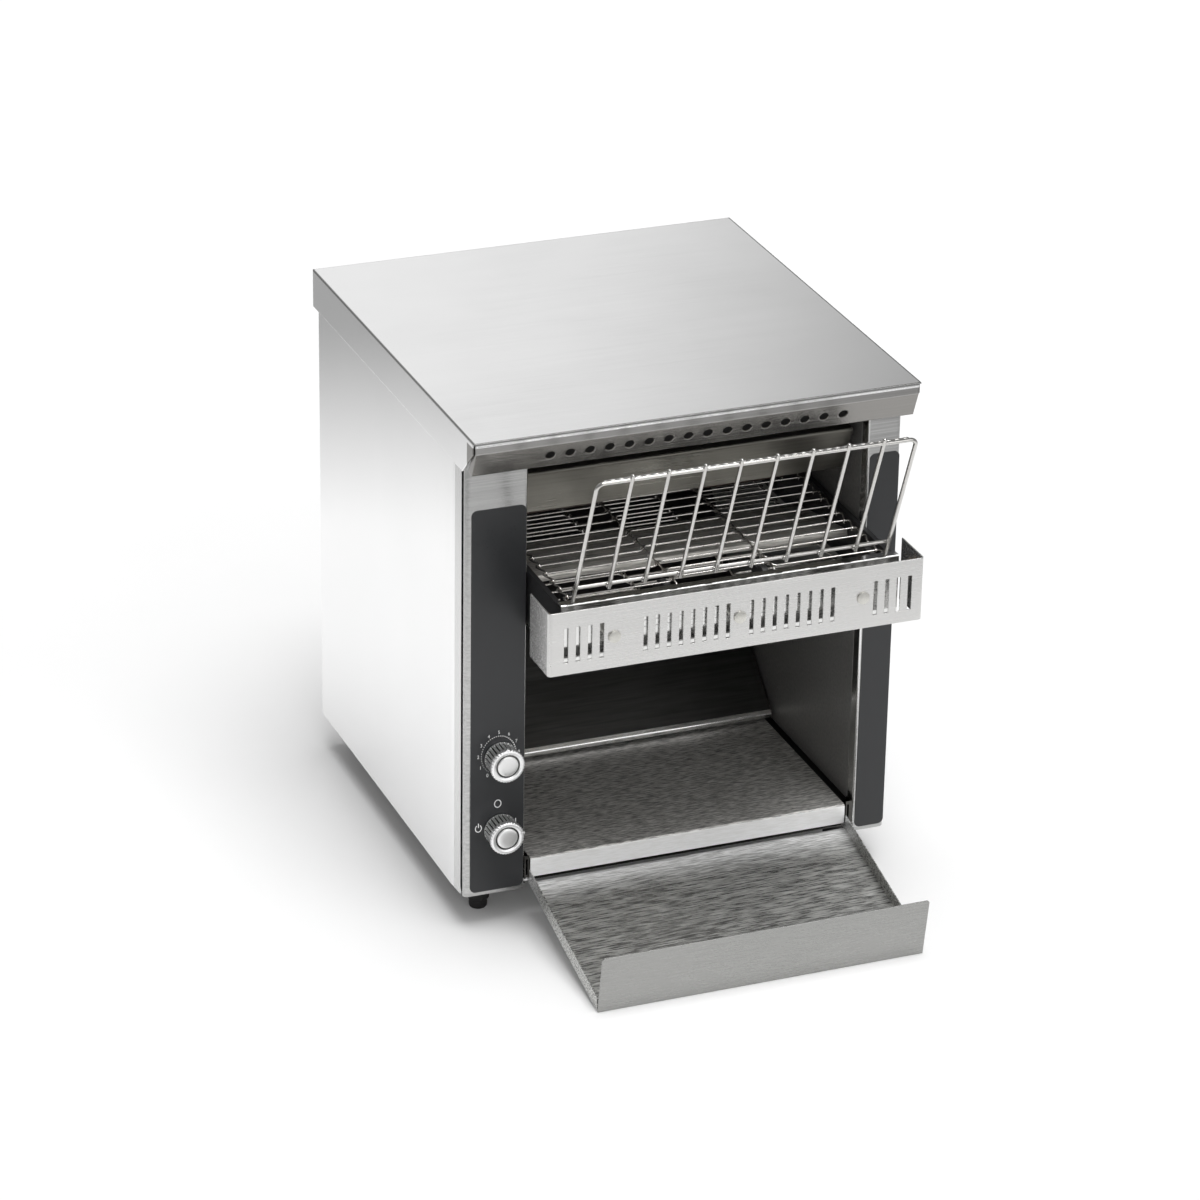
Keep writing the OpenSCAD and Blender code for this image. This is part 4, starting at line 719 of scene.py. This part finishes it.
def make_knob(name, z, turned):
    bm = bmesh.new()
    lathe(bm, (KNOB_X, KNOB_FRONT, z), (0, 1, 0), KNOB, KNOB_SIDES, knob_wave, knob_look)
    t = math.radians(turned)
    out, side = Vector((math.sin(t), 0, math.cos(t))), Vector((math.cos(t), 0, -math.sin(t)))
    hub = Vector((KNOB_X, KNOB_FRONT, z))
    rows = []
    for d, w, rise in POINTER:
        rows.append([bm.verts.new((hub + out * d + side * w * s + Vector((0, rise + sink, 0))) * MM)
                     for s, sink in ((-1, 0.9), (-0.75, 0.12), (0, 0), (0.75, 0.12), (1, 0.9))])
    for a, b in zip(rows, rows[1:]):
        for k in range(4):
            bm.faces.new((a[k], a[k + 1], b[k + 1], b[k]))
    return mesh_object(name, bm, [MATS["knob_metal"], knob_body_metal, knob_disc_metal, painted_recess_shade], 38)


add_piece(make_knob("speed_knob_cap", SPEED_Z, 0), "speed_knob_body", "knob_metal", "speed_knob")
add_piece(make_knob("power_knob_cap", POWER_Z, 78), "power_knob_body", "knob_metal", "power_knob")


# ---------------------------------------------------------------- dial marks
# All sizes in mm, angles in degrees clockwise from up.
INK_Y = FACE_Y - OVERLAY_T - 0.06
DIAL_X, DIAL_Z = -153.2, 153.4
ARC_START, ARC_SWEEP, ARC_DASHES = 216, 230, 33
NUMERALS, NUMERAL_START, NUMERAL_STEP, NUMERAL_SIZE = 9, 213, 29.57, 4.2


def printed_ink():
    g = Graph("dial_ink")
    worn = g.noise(900, 3, 0.6)
    g.put(g.bsdf, Base_Color=g.mix(g.span(worn, 0.35, 0.7, 0, 1), (0.80, 0.80, 0.80), (0.94, 0.94, 0.94)),
          Roughness=g.swing(worn, 0.45, 0.6))
    g.bump(worn, 0.1, 0.00003)
    return g.material


ink = printed_ink()


def ink_ring(bm, x, z, rx, rz, width, a0=0.0, a1=360.0, steps=48):
    """A flat printed ring or arc."""
    rows = []
    for k in range(steps + 1):
        a = math.radians(a0 + (a1 - a0) * k / steps)
        across, up = math.sin(a), math.cos(a)
        rows.append([bm.verts.new(((x + (rx + w) * across) * MM, INK_Y * MM, (z + (rz + w) * up) * MM))
                     for w in (-width / 2, width / 2)])
    for a, b in zip(rows, rows[1:]):
        bm.faces.new((a[0], a[1], b[1], b[0]))


def make_marks():
    """The dial's arc of growing dashes, the ring for off, the power sign and the bar for on."""
    bm = bmesh.new()
    for k in range(ARC_DASHES):
        share = k / (ARC_DASHES - 1)
        a = ARC_START + k * ARC_SWEEP / (ARC_DASHES - 1)
        half = 1.1 + 0.9 * share
        ink_ring(bm, DIAL_X, DIAL_Z, 14.3, 16.4, 0.35 + 0.75 * share ** 1.5, a - half, a + half, 3)
    ink_ring(bm, -153.6, 110.8, 2.7, 3.2, 0.75)
    ink_ring(bm, -169.6, 91.5, 2.5, 3.0, 0.75, 32, 328)
    for x, z, h in ((-169.6, 94.2, 2.0), (-138.6, 93.9, 1.9)):
        corners = [bm.verts.new(((x + dx) * MM, INK_Y * MM, (z + dz) * MM))
                   for dx, dz in ((-0.4, -h), (0.4, -h), (0.4, h * 0.9), (-0.4, h * 0.9))]
        bm.faces.new(corners)
    return mesh_object("dial_marks", bm, [ink])


add_piece(make_marks(), "casing", "overlay_black")


def make_numeral(text, x, z, size):
    curve = bpy.data.curves.new("numeral", "FONT")
    curve.body = text
    curve.size = size * MM
    curve.align_x = "CENTER"
    curve.align_y = "CENTER"
    obj = bpy.data.objects.new("numeral", curve)
    bpy.context.scene.collection.objects.link(obj)
    bpy.context.view_layer.update()
    data = bpy.data.meshes.new_from_object(obj.evaluated_get(bpy.context.evaluated_depsgraph_get()))
    bpy.data.objects.remove(obj)
    data.transform(Matrix.Translation((x * MM, INK_Y * MM, z * MM)) @ Matrix.Rotation(math.pi / 2, 4, "X")
                   @ Matrix.Scale(0.86, 4, (1, 0, 0)))
    data.materials.clear()
    data.materials.append(ink)
    made = bpy.data.objects.new("dial_numeral_" + text, data)
    bpy.context.scene.collection.objects.link(made)
    return made


for k in range(NUMERALS):
    a = math.radians(NUMERAL_START + NUMERAL_STEP * k)
    at_x, at_z = DIAL_X + 16.9 * math.sin(a), DIAL_Z + 19.6 * math.cos(a)
    add_piece(make_numeral(str(k), at_x, at_z, NUMERAL_SIZE), "casing", "overlay_black")


# ---------------------------------------------------------------- feet
FEET = [(x, y) for x in (-155.0, 155.0) for y in (-59.2, 209.0)]
# a foot's half section: (radius, height above the table), in mm
FOOT = ((0, 8.0), (4.1, 8.0), (4.1, 0.6), (4.6, 0.1), (5.6, 0.0), (6.5, 0.25), (7.1, 1.0), (7.35, 2.2),
        (7.4, 3.8), (7.25, 5.6), (7.1, 6.6), (7.15, 7.2), (7.6, 7.7), (8.5, 8.3), (8.9, 9.0), (9.0, 10.0),
        (9.0, 13.5), (8.75, 14.2), (8.75, 27.0), (9.0, 27.8), (9.0, 30.8), (8.6, 31.6), (2.3, 31.6))


def make_feet():
    bm = bmesh.new()
    for x, y in FEET:
        lathe(bm, (x, y, 0), (0, 0, 1), FOOT, 48)
    return mesh_object("rubber_feet", bm, [MATS["foot_rubber"]], 50)


add_piece(make_feet(), "casing", "foot_rubber", "feet")


# ---------------------------------------------------------------- screws
# All sizes in mm. BACK_Y is the back panel's outside.
BACK_Y = 249.0
GUARD_SCREW_X, GUARD_SCREW_STEP, GUARD_SCREW_Z = 12.05, 103.1, 282.8
HEX_FRONT, HEX_BACK, HEX_FLATS, HEX_SOFT = -182.85, -181.3, 9, 9
PAN_HEAD = ((0, 1.15), (0.5, 1.15), (0.75, 1.7), (1.6, 1.95), (2.4, 1.75), (2.85, 1.2), (3.0, 0.5),
            (3.0, 0.0), (2.0, 0.0), (2.0, -1.0), (0, -1.0))


def make_guard_screws():
    bm = bmesh.new()
    for i in (-1, 0, 1):
        x, z = GUARD_SCREW_X + i * GUARD_SCREW_STEP, GUARD_SCREW_Z
        outline = []
        for k in range(6):
            for d in (-HEX_SOFT, HEX_SOFT):
                a = math.radians(60 * k + 30 + d)
                r = HEX_FLATS / 2 / math.cos(math.radians(30)) * math.cos(math.radians(0.5 * abs(d)))
                outline.append((x + r * math.cos(a) * 0.995, z + r * math.sin(a) * 0.995))
        prism(bm, outline, Y, HEX_FRONT, HEX_BACK, 0.3)
        lathe(bm, (x, HEX_FRONT - 0.05, z), (0, 1, 0), ((0, 0), (2.8, 0.02), (3.6, 0.12), (3.8, 0.4)), 32)
        lathe(bm, (x, HEX_BACK, z), (0, 1, 0), ((2.5, 0), (2.5, 15.8), (2.1, 16.1), (0, 16.1)), 24)
    return mesh_object("guard_hex_screws", bm, [MATS["fastener_steel"]], 30)


add_piece(make_guard_screws(), "casing", "fastener_steel", "guard_screws")


def make_back_screws():
    bm = bmesh.new()
    for x in (-178.7, 178.7):
        for z in (86.6, 231.15, 375.7):
            lathe(bm, (x, BACK_Y, z), (0, 1, 0), PAN_HEAD, 32)
            # the cross slots are flat near-black quads of painted shade
            for turn in (0, 90):
                a = math.radians(turn + 25)
                u, w = Vector((math.cos(a), 0, math.sin(a))), Vector((-math.sin(a), 0, math.cos(a)))
                c = Vector((x, BACK_Y + 1.9, z))
                corners = [bm.verts.new((c + u * s * 1.5 + w * t * 0.28 + Vector((0, 0.05, 0))) * MM)
                           for s, t in ((-1, -1), (1, -1), (1, 1), (-1, 1))]
                bm.faces.new(corners).material_index = 1
    return mesh_object("back_panel_pan_screws", bm, [MATS["fastener_steel"], painted_recess_shade], 35)


add_piece(make_back_screws(), "casing", "fastener_steel", "back_panel_screws")


# ---------------------------------------------------------------- rear pieces
FAN_X, FAN_Z = -154.55, 121.6
INLET_X, INLET_Z, PIN_FRONT, PIN_BACK = FAN_X, 61.6, 230.6, 246
RING_STEPS = 48


def make_fan_guard():
    bm = bmesh.new()
    for r in (6, 12, 18):
        ring = arc_points((FAN_X * MM, (BACK_Y + 0.8) * MM, FAN_Z * MM), (1, 0, 0), (0, 0, 1), r * MM, 0,
                          TAU * (RING_STEPS - 1) / RING_STEPS, RING_STEPS - 1)
        tube(bm, ring, 0.8 * MM, 8, True)
    for a in (45, 135):
        d = Vector((math.cos(math.radians(a)), 0, math.sin(math.radians(a))))
        c = Vector((FAN_X, BACK_Y + 0.8, FAN_Z))
        tube(bm, [(c + d * s) * MM for s in (-19.6, -18, -9, 0, 9, 18, 19.6)], 0.75 * MM, 8)
    return mesh_object("fan_guard_wires", bm, [MATS["rack_chrome"]], 50)


add_piece(make_fan_guard(), "casing", "rack_chrome", "fan_guard")


def make_inlet_pins():
    bm = bmesh.new()
    for dx, dz in ((-7, 1.5), (7, 1.5), (0, -3.5)):
        x, z = INLET_X + dx, INLET_Z + dz
        outline = [(x - 1, z - 2), (x + 1, z - 2), (x + 1, z + 2), (x - 1, z + 2)]
        prism(bm, outline, Y, PIN_FRONT, PIN_BACK, 0.3)
    return mesh_object("inlet_pins", bm, [MATS["fastener_steel"]], 30)


add_piece(make_inlet_pins(), "casing", "fastener_steel")


# ---------------------------------------------------------------- insulation batt
# The batt fills BATT_WIDE of its space in X and Y and BATT_THICK in Z; its rim is pinched by up to PINCH.
BATT_CELLS, BATT_WIDE, BATT_THICK = (60, 66, 5), 0.992, 0.94
PINCH, PINCH_FROM, PINCH_OVER = 0.30, 0.93, 0.07
TUFT = 0.45


def make_batt():
    low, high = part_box("insulation")
    bm = bmesh.new()
    nx, ny, nz = BATT_CELLS
    size = high - low
    grid = {}

    def vert(i, j, k):
        if (i, j, k) not in grid:
            u, v, w = 2 * i / nx - 1, 2 * j / ny - 1, 2 * k / nz - 1
            edge = max(abs(u), abs(v))
            pinch = 1 - PINCH * max(0.0, (edge - PINCH_FROM) / PINCH_OVER) ** 2
            p = Vector((low.x + size.x * (0.5 + u / 2 * BATT_WIDE),
                        low.y + size.y * (0.5 + v / 2 * BATT_WIDE),
                        low.z + size.z * (0.5 + w / 2 * pinch * BATT_THICK)))
            wave = math.sin(i * 1.7 + 2.1 * math.sin(j * 0.9)) * math.sin(j * 1.3 + math.sin(i * 0.7))
            tuft = wave * TUFT * MM
            grid[i, j, k] = bm.verts.new(p + Vector((0, 0, tuft * w)))
        return grid[i, j, k]

    for i in range(nx):
        for j in range(ny):
            for k in (0, nz):
                bm.faces.new([vert(i, j, k), vert(i + 1, j, k), vert(i + 1, j + 1, k), vert(i, j + 1, k)])
    for k in range(nz):
        for i in range(nx):
            for j in (0, ny):
                bm.faces.new([vert(i, j, k), vert(i + 1, j, k), vert(i + 1, j, k + 1), vert(i, j, k + 1)])
        for j in range(ny):
            for i in (0, nx):
                bm.faces.new([vert(i, j, k), vert(i, j + 1, k), vert(i, j + 1, k + 1), vert(i, j, k + 1)])
    return mesh_object("insulation_batt", bm, [MATS["mineral_wool"]], 70)


batt = add_piece(make_batt(), "casing", "mineral_wool", "insulation")


# ---------------------------------------------------------------- stage
# In mirror images the floor darkens by POOL_DARK from POOL_NEAR to POOL_FAR metres away: a painted falloff of
# the pool of light round the part.
FLOOR_HALF, FLOOR_DROP, FLOOR_GLOW = 6, 0.0002, 0.04
POOL_NEAR, POOL_FAR, POOL_DARK = 0.77, 1.25, 0.7
# A sky is its even level and soft patches on it: (direction, dark at, bright at, level). A patch grows from
# nothing to its level as the cosine between a ray and the direction goes from dark at to bright at.
MIRRORED_SKY = (0.34, (
    ((0.083, 0.947, 0.309), 0.915, 0.972, 0.78),
    ((0.664, 0.664, 0.342), 0.92, 0.985, -0.30),
    ((0.10, -0.20, 0.97), 0.92, 0.97, 0.66),
    ((0.345, -0.90, 0.26), 0.80, 0.94, 1.5)))
LIGHTING_SKY = (0.15, (
    ((0.0, 0.0, 1.0), 0.2, 1.0, 0.30),
    ((0.0, -0.906, 0.423), 0.57, 0.90, 1.0)))
SUN_DIRECTION, SUN_STRENGTH, SUN_ANGLE = (0.05, -0.20, 1.0), 2.05, 42


def floor_material():
    """A pale sweep that reads as white where nothing shades it."""
    g = Graph("studio_floor")
    slow = g.noise(3, 3, 0.5)
    path = g.new("LightPath")
    away = g.new("VectorMath", operation="LENGTH")
    g.link(g.coords(), away.inputs[0])
    dim = g.math("MULTIPLY", g.span(away.outputs["Value"], POOL_NEAR, POOL_FAR, 0, POOL_DARK),
                 path.outputs["Is Glossy Ray"])
    pale = g.mix(g.swing(slow, 0, 1), (0.92, 0.92, 0.92), (0.94, 0.94, 0.94))
    seen = g.math("MAXIMUM", path.outputs["Is Camera Ray"],
                  g.math("MAXIMUM", path.outputs["Is Glossy Ray"], path.outputs["Is Transmission Ray"]))
    glow = g.math("MULTIPLY", g.math("SUBTRACT", seen, dim), FLOOR_GLOW)
    g.put(g.bsdf, Base_Color=g.mix(dim, pale, (0.1, 0.1, 0.1)), Roughness=0.9, Specular_IOR_Level=0,
          Emission_Color=(1, 1, 1, 1), Emission_Strength=glow)
    return g.material


def make_world():
    """White for the camera, MIRRORED_SKY for mirror images and LIGHTING_SKY for all other light."""
    world = bpy.data.worlds.new("studio")
    world.use_nodes = True
    bpy.context.scene.world = world
    tree = world.node_tree
    tree.nodes.clear()
    link = tree.links.new

    def node(kind, **values):
        made = tree.nodes.new("ShaderNode" + kind)
        for key, value in values.items():
            setattr(made, key, value)
        return made

    out = node("OutputWorld")
    path = node("LightPath")
    white = node("Background")
    white.inputs["Strength"].default_value = 1.0
    ray = node("TexCoord")

    def facing(direction, dark_at, bright_at):
        """1 where a ray points along direction, 0 away from it."""
        dot = node("VectorMath", operation="DOT_PRODUCT")
        link(ray.outputs["Generated"], dot.inputs[0])
        dot.inputs[1].default_value = direction
        step = node("MapRange", interpolation_type="SMOOTHSTEP")
        step.inputs[1].default_value = dark_at
        step.inputs[2].default_value = bright_at
        link(dot.outputs["Value"], step.inputs[0])
        return step.outputs[0]

    def sky(base, patches):
        total = None
        for direction, dark_at, bright_at, level in patches:
            scaled = node("Math", operation="MULTIPLY_ADD")
            link(facing(direction, dark_at, bright_at), scaled.inputs[0])
            scaled.inputs[1].default_value = level
            if total is None:
                scaled.inputs[2].default_value = base
            else:
                link(total, scaled.inputs[2])
            total = scaled.outputs[0]
        background = node("Background")
        link(total, background.inputs["Strength"])
        return background.outputs[0]

    def choose(share, without, full):
        mixed = node("MixShader")
        for source, socket in zip((share, without, full), mixed.inputs):
            link(source, socket)
        return mixed.outputs[0]

    mirrored, lighting = sky(*MIRRORED_SKY), sky(*LIGHTING_SKY)
    clear_way = node("Math", operation="MAXIMUM")
    link(path.outputs["Is Camera Ray"], clear_way.inputs[0])
    link(path.outputs["Is Transmission Ray"], clear_way.inputs[1])
    unseen = choose(path.outputs["Is Glossy Ray"], lighting, mirrored)
    link(choose(clear_way.outputs[0], unseen, white.outputs[0]), out.inputs[0])


def make_sun():
    data = bpy.data.lights.new("overhead_softbox", "SUN")
    data.energy = SUN_STRENGTH
    data.angle = math.radians(SUN_ANGLE)
    obj = bpy.data.objects.new("overhead_softbox", data)
    bpy.context.scene.collection.objects.link(obj)
    obj.rotation_euler = (-Vector(SUN_DIRECTION)).to_track_quat("-Z", "Y").to_euler()


bm = bmesh.new()
bmesh.ops.create_grid(bm, x_segments=2, y_segments=2, size=FLOOR_HALF)
floor = mesh_object("studio_floor", bm, [floor_material()])
floor.location = (0, 0, -FLOOR_DROP)
make_world()
make_sun()
bpy.context.scene.view_settings.view_transform = "Standard"
